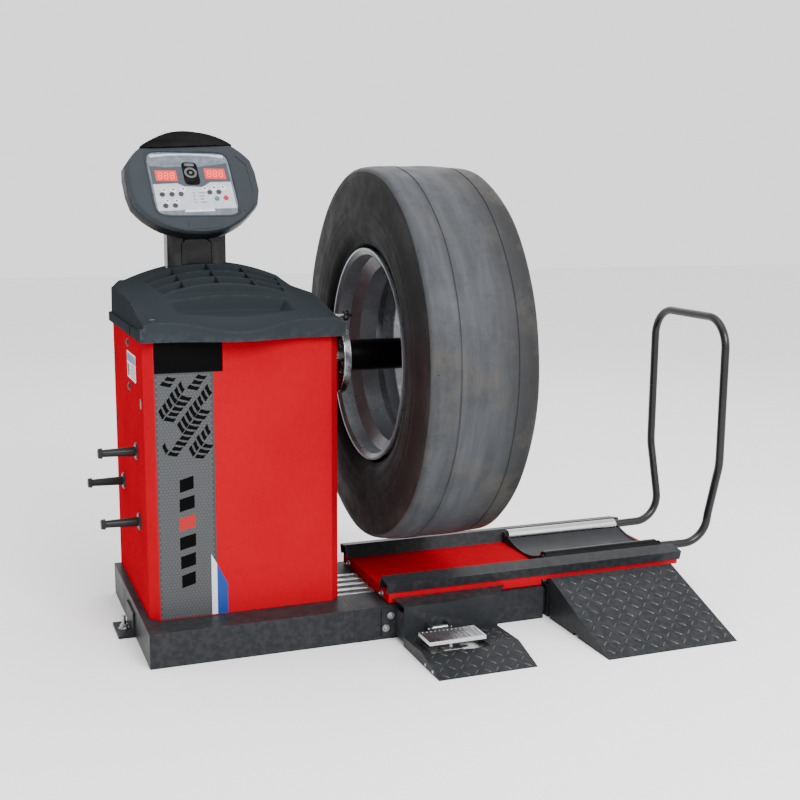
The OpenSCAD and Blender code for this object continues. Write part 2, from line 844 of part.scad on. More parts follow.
module tray_trolley() {
    t = 6;
    low = deck_z + 0.4;
    floor_r = 288.6;
    edge_r = 305;
    color(paint_dark) {
        // curved floor sheet
        x_extrude(trolley_x0 + t - 1, trolley_len - 2 * t + 2) intersection() {
            difference() {
                translate([0, low + 2 + floor_r]) circle(r = floor_r, $fn = 180);
                translate([0, low + 2 + floor_r]) circle(r = floor_r - 3, $fn = 180);
            }
            translate([-98, low]) square([196, 40]);
        }
        // end plates with a hollow upper edge and the rollers' axle bores
        for (x = [trolley_x0, trolley_x1 - t]) difference() {
            x_extrude(x, t) difference() {
                union() {
                    translate([-134, low]) square([268, 34]);
                    translate([-138, low + 6]) square([276, 28]);
                    for (s = [-1, 1]) translate([s * roller_y, roller_z]) circle(r = 13);
                }
                translate([0, low + 8 + edge_r]) circle(r = edge_r, $fn = 180);
            }
            for (s = [-1, 1]) xcyl(x - 1, t + 2, 6 + run_gap, s * roller_y, roller_z);
        }
        // slide strips between the end plates, beside the floor
        for (s = [-1, 1])
            translate([trolley_x0 + 1, s * 102 - 14, low]) cube([trolley_len - 2, 28, 4]);
    }
}

module roller(side) {
    gap = 1;
    t = 6;
    color(steel) {
        xcyl(trolley_x0 + t + gap, trolley_len - 2 * (t + gap), roller_r, side * roller_y, roller_z);
        xcyl(trolley_x0 + 0.5, trolley_len - 1, 6, side * roller_y, roller_z);
    }
}

module roller_front() {
    roller(-1);
}

module roller_rear() {
    roller(1);
}

// Points of the bent handle tube, from the front leg over the top to the rear leg
handle_r = 12.5;
handle_x = 1150;
bend = 80;
knee_low = 244;
knee_high = 405;
narrow_y = 142;
wide_y = 190;
corner = 90;
arc_n = 8;
leg_points = concat(
    [[trolley_x1, leg_y, leg_z], [trolley_x1 + 8, leg_y, leg_z], [handle_x - bend - 12, leg_y + 4, leg_z]],
    [for (i = [1 : arc_n]) let (a = 90 * i / arc_n)
        [handle_x - bend + bend * sin(a), leg_y + 4 + (narrow_y - leg_y - 4) * i / arc_n,
         leg_z + bend * (1 - cos(a))]],
    [[handle_x, narrow_y + 3, knee_low], [handle_x, wide_y - 5, knee_high - 18],
     [handle_x, wide_y, knee_high + 20]],
    [for (i = [0 : arc_n]) let (a = 90 * i / arc_n)
        [handle_x, wide_y - corner * (1 - cos(a)), handle_top - corner + corner * sin(a)]]
);
leg_n = len(leg_points);
handle_path = concat(
    [for (p = leg_points) [p[0], -p[1], p[2]]],
    [for (i = [leg_n - 1 : -1 : 0]) leg_points[i]]
);

function unit(v) = v / norm(v);
function tangent(path, i) = unit(path[min(i + 1, len(path) - 1)] - path[max(i - 1, 0)]);

// A round tube swept along a path, as one closed mesh
module swept_tube(path, r, sides = 12) {
    n = len(path);
    flat = [0, 1, 0];
    rings = [for (i = [0 : n - 1])
        let (t = tangent(path, i), side = abs(t[1]) > 0.9 ? [1, 0, 0] : flat,
             u = unit(cross(t, side)), v = cross(t, [1, 0, 0]), w = norm(v) < 0.2 ? u : unit(v),
             a = abs(t[0]) > 0.2 ? u : w, b = cross(t, a))
        [for (k = [0 : sides - 1]) path[i] + r * (cos(360 * k / sides) * a + sin(360 * k / sides) * b)]];
    points = [for (ring = rings, p = ring) p];
    faces = concat(
        [for (i = [0 : n - 2], k = [0 : sides - 1]) let (m = (k + 1) % sides)
            [i * sides + k, i * sides + m, (i + 1) * sides + m, (i + 1) * sides + k]],
        [[for (k = [sides - 1 : -1 : 0]) k], [for (k = [0 : sides - 1]) (n - 1) * sides + k]]
    );
    polyhedron(points = points, faces = faces, convexity = 6);
}

module trolley_handle() {
    color(black) swept_tube(handle_path, handle_r);
}

// --- distance gauge -------------------------------------------------------

module gauge_rod() {
    color(steel) xcyl(-340, 346, gauge_r, gauge_y, gauge_z);
}

module gauge_knob() {
    lobes = 6;
    x0 = 6;
    color(black) {
        xcyl(x0, 20, 11, gauge_y, gauge_z);
        for (i = [0 : lobes - 1]) translate([x0 + 4, gauge_y, gauge_z])
            rotate([i * 360 / lobes, 0, 0]) xcyl(0, 14, 4.5, 0, 11);
        xcyl(x0 + 20, 8, 4, gauge_y, gauge_z);
    }
}

// --- display --------------------------------------------------------------

module display_column() {
    w = 176;
    x0 = -403;
    y0 = 406;
    depth = 56;
    wall = 4;
    recess_w = 90;
    color(black) difference() {
        union() {
            translate([x0, y0, 848]) cube([w, depth, 500]);
            translate([x0, cab_y1 + eps, 640]) cube([w, y0 + depth - cab_y1 - eps, 240]);
        }
        // hollow, open at the back
        translate([x0 + wall, y0 + 12, 848 + wall]) cube([w - 2 * wall, depth, 600]);
        translate([x0 + wall, cab_y1 + wall, 640 + wall]) cube([w - 2 * wall, depth, 240]);
        // shallow window with a round-cornered top
        translate([x0 + (w - recess_w) / 2, y0 - 1, 840]) cube([recess_w, 7, 215]);
        translate([x0 + (w - recess_w) / 2 + 20, y0 - 1, 840]) cube([recess_w - 40, 7, 235]);
        for (dx = [20, recess_w - 20])
            ycyl(y0 - 1, 7, 20, x0 + (w - recess_w) / 2 + dx, 1055);
        // slanting top that meets the display's back
        head_frame() translate([-300, -400, -head_t]) cube([600, 900, 400]);
    }
}

module head_plan(inset = 0) {
    translate([4, -3]) intersection() {
        scale([(head_w / 2 + 9 - inset) / 100, (head_h / 2 - inset) / 100]) circle(r = 100, $fn = 120);
        square([head_w - 2 * inset, head_h], center = true);
    }
}

module panel_plan(grow = 0) {
    translate(panel_c) square([panel_w + 2 * grow, panel_h + 2 * grow], center = true);
}

module display_shell() {
    front = -12;
    color(black) head_frame() difference() {
        translate([0, 0, -head_t]) linear_extrude(head_t + front) head_plan();
        translate([0, 0, -head_t + 4]) linear_extrude(head_t) head_plan(4);
    }
}

module display_bezel() {
    front = -12;
    color(plastic) head_frame() difference() {
        translate([0, 0, front]) linear_extrude(-front) head_plan();
        translate([0, 0, front - 1]) linear_extrude(-front + 2) panel_plan(1);
    }
}

// [x, y] of each key on the face, and of the two lit windows
key_places = [
    [-98, -50], [-70, -49], [-43, -48], [-95, -90], [-67, -89], [43, -41], [70, -40],
    [61, -63], [88, -61]
];
led_places = [[-107, -2], [40, 7]];
led_size = [63, 39];

module keypad_panel() {
    color(alu) head_frame() difference() {
        translate([0, 0, -panel_sink - panel_t]) linear_extrude(panel_t) panel_plan();
        for (p = key_places) translate([p[0], p[1], -20]) cylinder(h = 20, r = key_r + 0.35);
    }
    // rear edge frame that holds the panel in the shell
    color(black) head_frame() {
        translate([0, 0, -12 - 5]) linear_extrude(5) difference() {
            panel_plan(6);
            panel_plan(-5);
        }
        translate([0, 0, -12 - 1]) linear_extrude(12 - panel_sink - panel_t + 1) difference() {
            panel_plan(0);
            panel_plan(-5);
        }
    }
}

module led_windows() {
    color([0.85, 0.15, 0.15]) head_frame() for (p = led_places)
        translate([p[0], p[1], -panel_sink]) cube([led_size[0], led_size[1], 1.2]);
}

module panel_key(i, tint) {
    color(tint) head_frame() translate([key_places[i][0], key_places[i][1], -panel_sink])
        translate([0, 0, key_out - key_h]) cylinder(h = key_h, r = key_r);
}

module key_menu() { panel_key(0, black); }
module key_next() { panel_key(1, black); }
module key_mode() { panel_key(2, black); }
module key_minus() { panel_key(3, black); }
module key_plus() { panel_key(4, black); }
module key_width() { panel_key(5, black); }
module key_offset() { panel_key(6, black); }
module key_start() { panel_key(7, [0.10, 0.60, 0.25]); }
module key_stop() { panel_key(8, [0.80, 0.12, 0.12]); }

// --- foot pedal -----------------------------------------------------------

pedal_x0 = 88;
pedal_w = 280;
riser_y = -282;
pin_y = -312;
pin_z = 52;

module pedal_box() {
    t = 4;
    color(paint_dark) {
        difference() {
            // tread plate, riser and top flap, bent from one sheet
            x_extrude(pedal_x0, pedal_w) polygon([
                [-534, 0], [-419, 32], [riser_y - t, 26], [riser_y - t, 112], [-206, 112],
                [-206, 112 - t], [riser_y, 112 - t], [riser_y, 22], [-418, 28], [-518, 0]
            ]);
            translate([pedal_x0 + 24, -428, 10]) cube([168, 76, 40]);
        }
        // right end of the flap, and the strap below the valve
        translate([0, 0, 112 - t]) linear_extrude(t) polygon([
            [pedal_x0 + pedal_w - 1, riser_y], [pedal_x0 + pedal_w, riser_y],
            [425, -206], [pedal_x0 + pedal_w - 1, -206]
        ]);
        translate([pedal_x0 + 1, -424, 0]) cube([pedal_w - 2, 58, 3]);
        // side plates
        for (x = [pedal_x0, pedal_x0 + pedal_w - t])
            x_extrude(x, t) polygon([[-520, 1], [-419, 30], [riser_y, 24], [riser_y, 0], [-520, 0]]);
        // wall plate that ties the box to the base
        translate([pedal_x0 - 40, base_y0 - 6, 12]) cube([60, 6, 78]);
        translate([pedal_x0, riser_y, 12]) cube([t, -riser_y + base_y0 - 5, 78]);
        // pivot lugs
        for (x = [150, 206]) difference() {
            translate([x, pin_y - 8, 40]) cube([6, riser_y - pin_y + 8 + eps, 22]);
            xcyl(x - 1, 8, 4 + run_gap, pin_y, pin_z);
        }
        translate([pedal_x0 + 20, riser_y, 20]) cube([t, -riser_y + base_y0, 60]);
    }
}

module pedal_valve() {
    color(zinc) {
        translate([150, -418, 3]) cube([56, 46, 27.5]);
        translate([178, -396, 30]) cylinder(h = 15, r = 6);
        xcyl(206, 22, 9, -394, 18);
    }
}

module foot_pedal() {
    pad_y = -438;
    color(alu) {
        difference() {
            translate([101, pad_y, 56]) cube([161, 80, 10]);
            for (i = [0 : 12]) translate([108 + i * 12, pad_y + 6, 65]) cube([4, 68, 3]);
        }
        translate([159, -360, 49]) cube([44, 46, 7 + eps]);
        xcyl(147, 68, 4, pin_y, pin_z);
        xcyl(159, 44, 8, pin_y, pin_z);
    }
}

// --- ramp and its stand ---------------------------------------------------

ramp_x0 = 565;
ramp_w = 407;
ramp_y0 = -560;
ramp_y1 = -222;
ramp_z = 122;

module ramp() {
    t = 5;
    run = ramp_y1 - ramp_y0;
    color(paint_dark) {
        x_extrude(ramp_x0, ramp_w) polygon([
            [ramp_y0, 0], [ramp_y1, ramp_z], [ramp_y1, ramp_z - t - 1], [ramp_y0 + 16, 0]
        ]);
        x_extrude(ramp_x0, ramp_w) polygon([
            [ramp_y1 - t, 0], [ramp_y1 - t, ramp_z - 4], [ramp_y1, ramp_z - 2], [ramp_y1, 0]
        ]);
        for (x = [ramp_x0, ramp_x0 + ramp_w / 2, ramp_x0 + ramp_w - t])
            x_extrude(x, t) difference() {
                polygon([[ramp_y1, 0], [ramp_y1, ramp_z - 3], [ramp_y0 + 20, 3], [ramp_y0 + 20, 0]]);
                translate([ramp_y0 + run / 2, -1]) square([24, 9]);
            }
    }
}

module loading_stand() {
    wall = 5;
    top = base_h;
    y0 = -209;
    y1 = ext_y1;
    color(paint_dark) {
        // a box of plate, open above and below
        difference() {
            translate([ramp_x0, y0, 0]) cube([ramp_w, y1 - y0, top]);
            translate([ramp_x0 + wall, y0 + wall, -1])
                cube([ramp_w - 2 * wall, y1 - y0 - 2 * wall, top + 2]);
        }
        // corner plates below the buffers
        for (x = [ramp_x0 + 1, ramp_x0 + ramp_w - 41], y = [y0 + 1, y1 - 41])
            translate([x, y, top - wall]) cube([40, 40, wall]);
        // tie plates to the base, and a plate that holds the ramp
        for (y = [-190, 150]) translate([base_x1, y, 10]) cube([ramp_x0 - base_x1 + 1, 40, 70]);
        translate([ramp_x0 + 20, ramp_y1, 20]) cube([ramp_w - 40, y0 - ramp_y1 + 1, 30]);
    }
    color(rubber) for (x = [ramp_x0 + 22, ramp_x0 + ramp_w - 22], y = [y0 + 22, y1 - 22])
        translate([x, y, top]) cylinder(h = 14, r = 14);
}

// --- inlets ---------------------------------------------------------------

module mains_inlet() {
    face = panel_y;
    color(black) {
        difference() {
            union() {
                translate([inlet_x - 27, face, inlet_z - 17]) cube([54, 4, 34]);
                translate([inlet_x - 23.5, face - 24, inlet_z - 13.5]) cube([47, 26, 27]);
            }
            translate([inlet_x - 18, face - 18, inlet_z - 9]) cube([36, 30, 18]);
        }
        for (dx = [-9, 0, 9]) translate([inlet_x + dx - 1, face - 19, inlet_z - 3]) cube([2, 16, 6]);
    }
    color(black) difference() {
        union() {
            translate([switch_x - 14, face, inlet_z - 18]) cube([28, 3, 36]);
            translate([switch_x - 10.5, face - 20, inlet_z - 14.5]) cube([21, 22, 29]);
        }
        translate([switch_x - 8.5, face - 16, inlet_z - 12.5]) cube([17, 30, 25]);
    }
}

module power_switch() {
    color([0.75, 0.1, 0.1]) xcyl(switch_x - 8.2, 16.4, 1.5, switch_y, inlet_z);
    color([0.75, 0.1, 0.1]) intersection() {
        translate([0, switch_y, inlet_z]) rotate([8, 0, 0])
            translate([switch_x - 8, -4, -11.5]) cube([16, 10, 23]);
        translate([switch_x - 9, panel_y - 15, inlet_z - 12]) cube([18, 40, 24]);
    }
}

module air_inlet() {
    color(zinc) {
        ycyl(panel_y - 20, 26, 8, air_x, inlet_z);
        ycyl(panel_y, 12, 13, air_x, inlet_z);
        for (i = [0 : 3]) translate([air_x, panel_y + 12 + i * 6, inlet_z]) rotate([-90, 0, 0])
            cylinder(h = 6, r1 = 7, r2 = 5.5);
    }
}

base_frame();
base_extension();
base_brackets();
rail_cover();
anchor_bolts();
cabinet_shell();
cabinet_back_panel();
weight_tray_lid();
tool_pegs();
side_plugs();
spindle_bracket();
spindle_housing();
spindle_bearings();
force_sensors();
drive_motor();
drive_belt();
control_board();
display_column();
display_shell();
display_bezel();
keypad_panel();
led_windows();
lift_cylinder();
pedal_box();
pedal_valve();
ramp();
loading_stand();
mains_inlet();
air_inlet();
main_shaft();
shaft_pulley();
flange_disc();
shaft_sleeve();
centering_cone();
wheel_rim();
tyre();
clamp_nut();
motor_pulley();
lift_arms_left();
lift_arms_right();
platform_deck();
platform_rails();
cylinder_rod();
tray_trolley();
trolley_handle();
roller_front();
roller_rear();
gauge_rod();
gauge_knob();
foot_pedal();
power_switch();
key_menu();
key_next();
key_mode();
key_minus();
key_plus();
key_width();
key_offset();
key_start();
key_stop();
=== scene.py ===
import json
import math
import random

import bmesh
import bpy
from mathutils import Matrix, Vector


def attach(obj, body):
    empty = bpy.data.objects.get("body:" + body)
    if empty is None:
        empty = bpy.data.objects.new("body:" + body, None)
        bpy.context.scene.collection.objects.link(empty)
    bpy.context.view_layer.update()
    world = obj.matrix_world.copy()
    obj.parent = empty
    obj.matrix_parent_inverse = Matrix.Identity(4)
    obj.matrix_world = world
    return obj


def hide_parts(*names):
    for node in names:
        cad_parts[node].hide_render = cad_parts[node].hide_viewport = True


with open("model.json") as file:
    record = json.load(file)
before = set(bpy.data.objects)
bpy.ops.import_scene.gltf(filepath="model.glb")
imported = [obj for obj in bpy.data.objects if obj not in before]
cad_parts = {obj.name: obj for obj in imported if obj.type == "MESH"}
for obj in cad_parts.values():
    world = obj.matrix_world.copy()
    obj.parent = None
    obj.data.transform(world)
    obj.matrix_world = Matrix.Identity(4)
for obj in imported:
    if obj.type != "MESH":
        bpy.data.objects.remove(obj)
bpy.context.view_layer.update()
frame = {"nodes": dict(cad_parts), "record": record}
MM = 0.001
AXIS_Z = 0.765

# ---------------------------------------------------------------- camera
YAW, PITCH, ROLL = math.radians(20.96), math.radians(9.91), math.radians(0.40)
right = Vector((math.cos(YAW), -math.sin(YAW), 0))
forward = Vector((math.sin(YAW) * math.cos(PITCH), math.cos(YAW) * math.cos(PITCH), -math.sin(PITCH)))
up = Vector((math.sin(YAW) * math.sin(PITCH), math.cos(YAW) * math.sin(PITCH), math.cos(PITCH)))
cam_x = right * math.cos(ROLL) + up * math.sin(ROLL)
cam_y = up * math.cos(ROLL) - right * math.sin(ROLL)
camera = bpy.data.objects.new("camera", bpy.data.cameras.new("camera"))
camera.data.sensor_width = 36
camera.data.lens = 36 * 1204.9 / 800
rot = Matrix((cam_x, cam_y, -forward)).transposed().to_4x4()
camera.matrix_world = Matrix.Translation((-1.0388, -3.1843, 1.2241)) @ rot
camera.data.clip_end = 60
bpy.context.scene.collection.objects.link(camera)
bpy.context.scene.camera = camera

# ---------------------------------------------------------------- materials


class Mat:
    """A Principled material with room for noise, bump, wear and painted highlight nodes."""

    def __init__(self, name, color, rough, metal=0.0, coat=0.0, spec=0.15):
        self.m = bpy.data.materials.new(name)
        self.m.use_nodes = True
        self.t = self.m.node_tree
        self.b = self.t.nodes["Principled BSDF"]
        self.color = (*color, 1)
        self.b.inputs["Base Color"].default_value = self.color
        self.b.inputs["Roughness"].default_value = rough
        self.b.inputs["Metallic"].default_value = metal
        self.b.inputs["Coat Weight"].default_value = coat
        self.b.inputs["Coat Roughness"].default_value = 0.12
        self.b.inputs["Specular IOR Level"].default_value = 0.5 if metal > 0.5 else spec
        self.rough = rough
        self.co = self.node("ShaderNodeTexCoord").outputs["Object"]
        self.last_color = None
        self.last_normal = None

    def node(self, kind, **values):
        n = self.t.nodes.new(kind)
        for k, v in values.items():
            setattr(n, k, v)
        return n

    def link(self, a, b):
        self.t.links.new(a, b)

    def scaled(self, scale=(1, 1, 1), rotate=(0, 0, 0), shift=(0, 0, 0)):
        n = self.node("ShaderNodeMapping")
        n.inputs["Scale"].default_value = scale
        n.inputs["Rotation"].default_value = rotate
        n.inputs["Location"].default_value = shift
        self.link(self.co, n.inputs["Vector"])
        return n.outputs["Vector"]

    def noise(self, scale, detail=4, rough=0.55, vector=None, distort=0.0):
        n = self.node("ShaderNodeTexNoise")
        n.inputs["Scale"].default_value = scale
        n.inputs["Detail"].default_value = detail
        n.inputs["Roughness"].default_value = rough
        n.inputs["Distortion"].default_value = distort
        self.link(vector or self.co, n.inputs["Vector"])
        return n.outputs["Fac"]

    def ramp(self, fac, a, b, lo=0.0, hi=1.0):
        n = self.node("ShaderNodeMapRange")
        n.inputs["From Min"].default_value = a
        n.inputs["From Max"].default_value = b
        n.inputs["To Min"].default_value = lo
        n.inputs["To Max"].default_value = hi
        self.link(fac, n.inputs["Value"])
        return n.outputs["Result"]

    def math(self, op, a, b):
        n = self.node("ShaderNodeMath", operation=op)
        for i, v in enumerate((a, b)):
            if isinstance(v, (int, float)):
                n.inputs[i].default_value = v
            else:
                self.link(v, n.inputs[i])
        return n.outputs["Value"]

    def tint(self, fac, color):
        """Mixes a second colour over what the base colour is so far."""
        n = self.node("ShaderNodeMix", data_type="RGBA")
        if self.last_color is None:
            n.inputs["A"].default_value = self.color
        else:
            self.link(self.last_color, n.inputs["A"])
        n.inputs["B"].default_value = (*color, 1)
        self.link(fac, n.inputs["Factor"])
        self.last_color = n.outputs["Result"]
        self.link(self.last_color, self.b.inputs["Base Color"])

    def roughen(self, fac, spread):
        out = self.ramp(fac, 0.25, 0.75, max(0.04, self.rough - spread), min(1, self.rough + spread))
        self.link(out, self.b.inputs["Roughness"])

    def bump(self, height, strength, distance):
        n = self.node("ShaderNodeBump")
        n.inputs["Strength"].default_value = strength
        n.inputs["Distance"].default_value = distance
        self.link(height, n.inputs["Height"])
        if self.last_normal is not None:
            self.link(self.last_normal, n.inputs["Normal"])
        self.last_normal = n.outputs["Normal"]
        self.link(self.last_normal, self.b.inputs["Normal"])

    def edges(self, color, a=0.52, b=0.60, amount=0.5):
        """Tinted edges where the surface is pointed, broken up by noise: wear, and in plastics also a painted
        highlight.
        """
        point = self.node("ShaderNodeNewGeometry").outputs["Pointiness"]
        fac = self.math("MULTIPLY", self.ramp(point, a, b), self.ramp(self.noise(60), 0.42, 0.6, 0, amount))
        self.tint(fac, color)


def painted(name, color, rough, coat=0.0, dust=0.10, peel=0.00012, scuff=(0.1, 0.1, 0.1), wear=0.35,
            spec=0.18):
    m = Mat(name, color, rough, coat=coat, spec=spec)
    big = m.noise(3.5, 5)
    dark = [c * 0.78 for c in color]
    m.tint(m.ramp(big, 0.42, 0.75, 0, 0.5), dark)
    dusty = m.math("MULTIPLY", m.ramp(m.noise(14, 6, 0.7), 0.5, 0.8), dust)
    m.tint(dusty, (0.10, 0.095, 0.085))
    scratch = m.noise(9, 2, 0.5, m.scaled((1, 60, 4), (0.2, 0.5, 0.3)))
    m.tint(m.math("MULTIPLY", m.ramp(scratch, 0.70, 0.74), 0.25 * wear), scuff)
    m.edges(scuff, amount=wear)
    m.roughen(m.noise(11, 6, 0.65), 0.09)
    m.bump(m.noise(420, 2), 0.25, peel)
    m.bump(m.noise(4, 2), 0.15, 0.0006)
    return m.m


def metal(name, color, rough, grain=(1, 60, 60), stain=(0.3, 0.28, 0.25), amount=0.3, metallic=1.0):
    m = Mat(name, color, rough, metal=metallic)
    brushed = m.noise(30, 3, 0.6, m.scaled(grain))
    m.tint(m.math("MULTIPLY", m.ramp(m.noise(7, 6, 0.7), 0.48, 0.75), amount), stain)
    m.tint(m.ramp(brushed, 0.3, 0.7, 0, 0.22), [c * 0.7 for c in color])
    m.roughen(m.math("ADD", m.math("MULTIPLY", brushed, 0.6), m.math("MULTIPLY", m.noise(9, 5), 0.4)), 0.12)
    m.bump(brushed, 0.12, 0.0003)
    return m.m


def plastic(name, color, rough, grain=900, depth=0.00012, dust=0.16, spec=0.22):
    m = Mat(name, color, rough, spec=spec)
    m.tint(m.math("MULTIPLY", m.ramp(m.noise(6, 6, 0.7), 0.45, 0.8), dust), (0.06, 0.06, 0.058))
    # pointed edges lightened: partly wear, partly a painted highlight
    m.edges([min(0.5, c * 2.5 + 0.02) for c in color], amount=0.3)
    m.roughen(m.noise(13, 5, 0.6), 0.08)
    m.bump(m.noise(grain, 2, 0.6), 0.35, depth)
    return m.m


M = {
    "dark": painted("dark_paint", (0.0150, 0.0165, 0.0190), 0.40, scuff=(0.05, 0.05, 0.05), dust=0.12,
                    spec=0.08),
    "red": painted("red_paint", (0.34, 0.0006, 0.0085), 0.42, scuff=(0.14, 0.003, 0.006), dust=0.0,
                   wear=0.15, spec=0.0),
    "black_paint": painted("black_gloss_paint", (0.006, 0.006, 0.007), 0.28, scuff=(0.05, 0.05, 0.05),
                           dust=0.03, spec=0.30),
    "grey_plastic": plastic("lid_plastic", (0.0205, 0.0250, 0.0285), 0.42, dust=0.05, spec=0.0),
    "black_plastic": plastic("black_plastic", (0.007, 0.007, 0.008), 0.36, dust=0.06),
    "visor": plastic("visor_gloss", (0.0016, 0.0016, 0.0017), 0.22, grain=200, depth=0.00002, dust=0.01,
                     spec=0.03),
    "stud": metal("stud_edges", (0.050, 0.052, 0.056), 0.34, grain=(12, 12, 12), amount=0.2, metallic=0.6),
    "bezel": plastic("bezel_plastic", (0.026, 0.031, 0.036), 0.40, spec=0.04),
    "steel": metal("bright_steel", (0.50, 0.51, 0.52), 0.25),
    "zinc": metal("zinc_plate", (0.40, 0.41, 0.43), 0.36, grain=(8, 8, 8)),
    "alu": metal("brushed_aluminium", (0.60, 0.61, 0.63), 0.30, grain=(1, 50, 50), amount=0.14),
    "disc": metal("turned_steel", (0.66, 0.67, 0.69), 0.20, grain=(1.2, 1.2, 1.2), amount=0.06),
    "black_steel": metal("black_steel", (0.010, 0.010, 0.011), 0.34, grain=(40, 2, 2),
                         stain=(0.04, 0.036, 0.03)),
    "rim": metal("rim_paint", (0.30, 0.315, 0.34), 0.33, grain=(3, 3, 3), stain=(0.11, 0.095, 0.08),
                 amount=0.6, metallic=0.75),
    "brass": metal("brass", (0.60, 0.45, 0.20), 0.3, grain=(8, 8, 8)),
    "belt": plastic("belt_rubber", (0.008, 0.008, 0.008), 0.7),
    "motor": painted("motor_paint", (0.035, 0.05, 0.065), 0.45),
    "board": plastic("board_green", (0.008, 0.05, 0.02), 0.35),
    "foil": plastic("keypad_foil", (0.075, 0.088, 0.108), 0.30, grain=300, depth=0.00005, dust=0.06),
    "pale": plastic("pale_print_and_highlight", (0.33, 0.34, 0.39), 0.34, grain=300, depth=0.00003, dust=0.04),
    "white": plastic("white_print", (0.50, 0.51, 0.53), 0.38, grain=300, depth=0.00003, dust=0.05),
    "ink": plastic("black_print", (0.0016, 0.0016, 0.0018), 0.42, grain=300, depth=0.00003, dust=0.01,
                   spec=0.02),
    "band": plastic("band_print", (0.030, 0.038, 0.048), 0.38, grain=300, depth=0.00003, dust=0.03),
    "hex_grey": plastic("grey_print", (0.052, 0.055, 0.058), 0.40, grain=300, depth=0.00003, dust=0.05),
    "hex_dark": plastic("dark_grey_print", (0.030, 0.032, 0.034), 0.40, grain=300, depth=0.00003, dust=0.05),
    "blue": plastic("blue_print", (0.004, 0.035, 0.19), 0.36, grain=300, depth=0.00003, dust=0.03),
    "key_black": plastic("key_black", (0.012, 0.012, 0.013), 0.28, dust=0.05),
    "key_green": plastic("key_green", (0.004, 0.14, 0.04), 0.28, dust=0.03),
    "key_red": plastic("key_red", (0.30, 0.003, 0.004), 0.28, dust=0.03),
}


def led_material():
    m = Mat("led_window", (0.42, 0.03, 0.025), 0.2)
    m.b.inputs["Emission Color"].default_value = (1.0, 0.07, 0.05, 1)
    m.b.inputs["Emission Strength"].default_value = 0.35
    m.tint(m.ramp(m.noise(40, 3), 0.4, 0.7, 0, 0.4), (0.30, 0.02, 0.02))
    m.roughen(m.noise(30, 4), 0.05)
    return m.m


def lit_material():
    m = Mat("led_segment", (0.95, 0.06, 0.03), 0.3)
    m.b.inputs["Emission Color"].default_value = (1.0, 0.16, 0.12, 1)
    m.b.inputs["Emission Strength"].default_value = 1.0
    m.roughen(m.noise(60), 0.05)
    return m.m


def tyre_material(tread):
    """Worn rubber: streaks run round the tyre, with grey dusty patches, and painted shade darkens the tread
    towards its +x edge.
    """
    m = Mat("tyre_tread" if tread else "tyre_wall",
            (0.041, 0.044, 0.050) if tread else (0.0095, 0.0098, 0.0102), 0.50, spec=0.12 if tread else 0.05)
    sep = m.node("ShaderNodeSeparateXYZ")
    m.link(m.scaled(shift=(0, 0, -AXIS_Z)), sep.inputs["Vector"])
    y, z = sep.outputs["Y"], sep.outputs["Z"]
    angle = m.math("ARCTAN2", y, z)
    radius = m.math("SQRT", m.math("ADD", m.math("MULTIPLY", y, y), m.math("MULTIPLY", z, z)), 0)
    comb = m.node("ShaderNodeCombineXYZ")
    m.link(sep.outputs["X"], comb.inputs["X"])
    m.link(m.math("MULTIPLY", m.math("SINE", angle, 0), 0.35), comb.inputs["Y"])
    m.link(m.math("MULTIPLY", m.math("COSINE", angle, 0), 0.35), comb.inputs["Z"])
    polar = comb.outputs["Vector"]
    around = m.node("ShaderNodeMapping")
    around.inputs["Scale"].default_value = (13, 2.0, 2.0)
    m.link(polar, around.inputs["Vector"])
    streaks = m.noise(3.0, 6, 0.6, around.outputs["Vector"], 0.3)
    if tread:
        m.tint(m.ramp(streaks, 0.42, 0.70, 0, 0.45), (0.066, 0.071, 0.079))
        m.tint(m.ramp(m.noise(2.6, 5, 0.6, around.outputs["Vector"]), 0.40, 0.62, 0, 0.45),
               (0.019, 0.0195, 0.020))
        # painted shade: the tread darkens towards its +x edge, so the other side reads as lit
        side = m.ramp(m.math("SUBTRACT", sep.outputs["X"], 0.213), 0.0, 0.12, 0, 0.88)
        m.tint(side, (0.0125, 0.0125, 0.0128))
        m.tint(m.math("MULTIPLY", m.ramp(m.noise(5, 7, 0.7), 0.50, 0.66), 0.6), (0.056, 0.050, 0.041))
        m.tint(m.ramp(m.noise(38, 5, 0.8), 0.60, 0.68, 0, 0.45), (0.018, 0.0175, 0.017))
        m.tint(m.ramp(m.noise(11, 7, 0.75), 0.50, 0.62, 0, 0.38), (0.021, 0.021, 0.022))
    else:
        wave = m.node("ShaderNodeMath", operation="SINE")
        m.link(m.math("MULTIPLY", radius, 900), wave.inputs[0])
        m.tint(m.ramp(streaks, 0.45, 0.75, 0, 0.5), (0.022, 0.0215, 0.021))
        m.tint(m.math("MULTIPLY", m.ramp(radius, 0.455, 0.50), m.ramp(m.noise(9, 6), 0.35, 0.6, 0, 0.5)),
               (0.034, 0.032, 0.029))
        m.bump(wave.outputs["Value"], 0.10, 0.0006)
    m.roughen(m.noise(16, 6, 0.7), 0.12)
    m.bump(streaks, 0.35, 0.0012)
    m.bump(m.noise(160, 5, 0.8), 0.45, 0.0007)
    return m.m


M["led"] = led_material()
M["lit"] = lit_material()
M["tread"] = tyre_material(True)
M["wall"] = tyre_material(False)

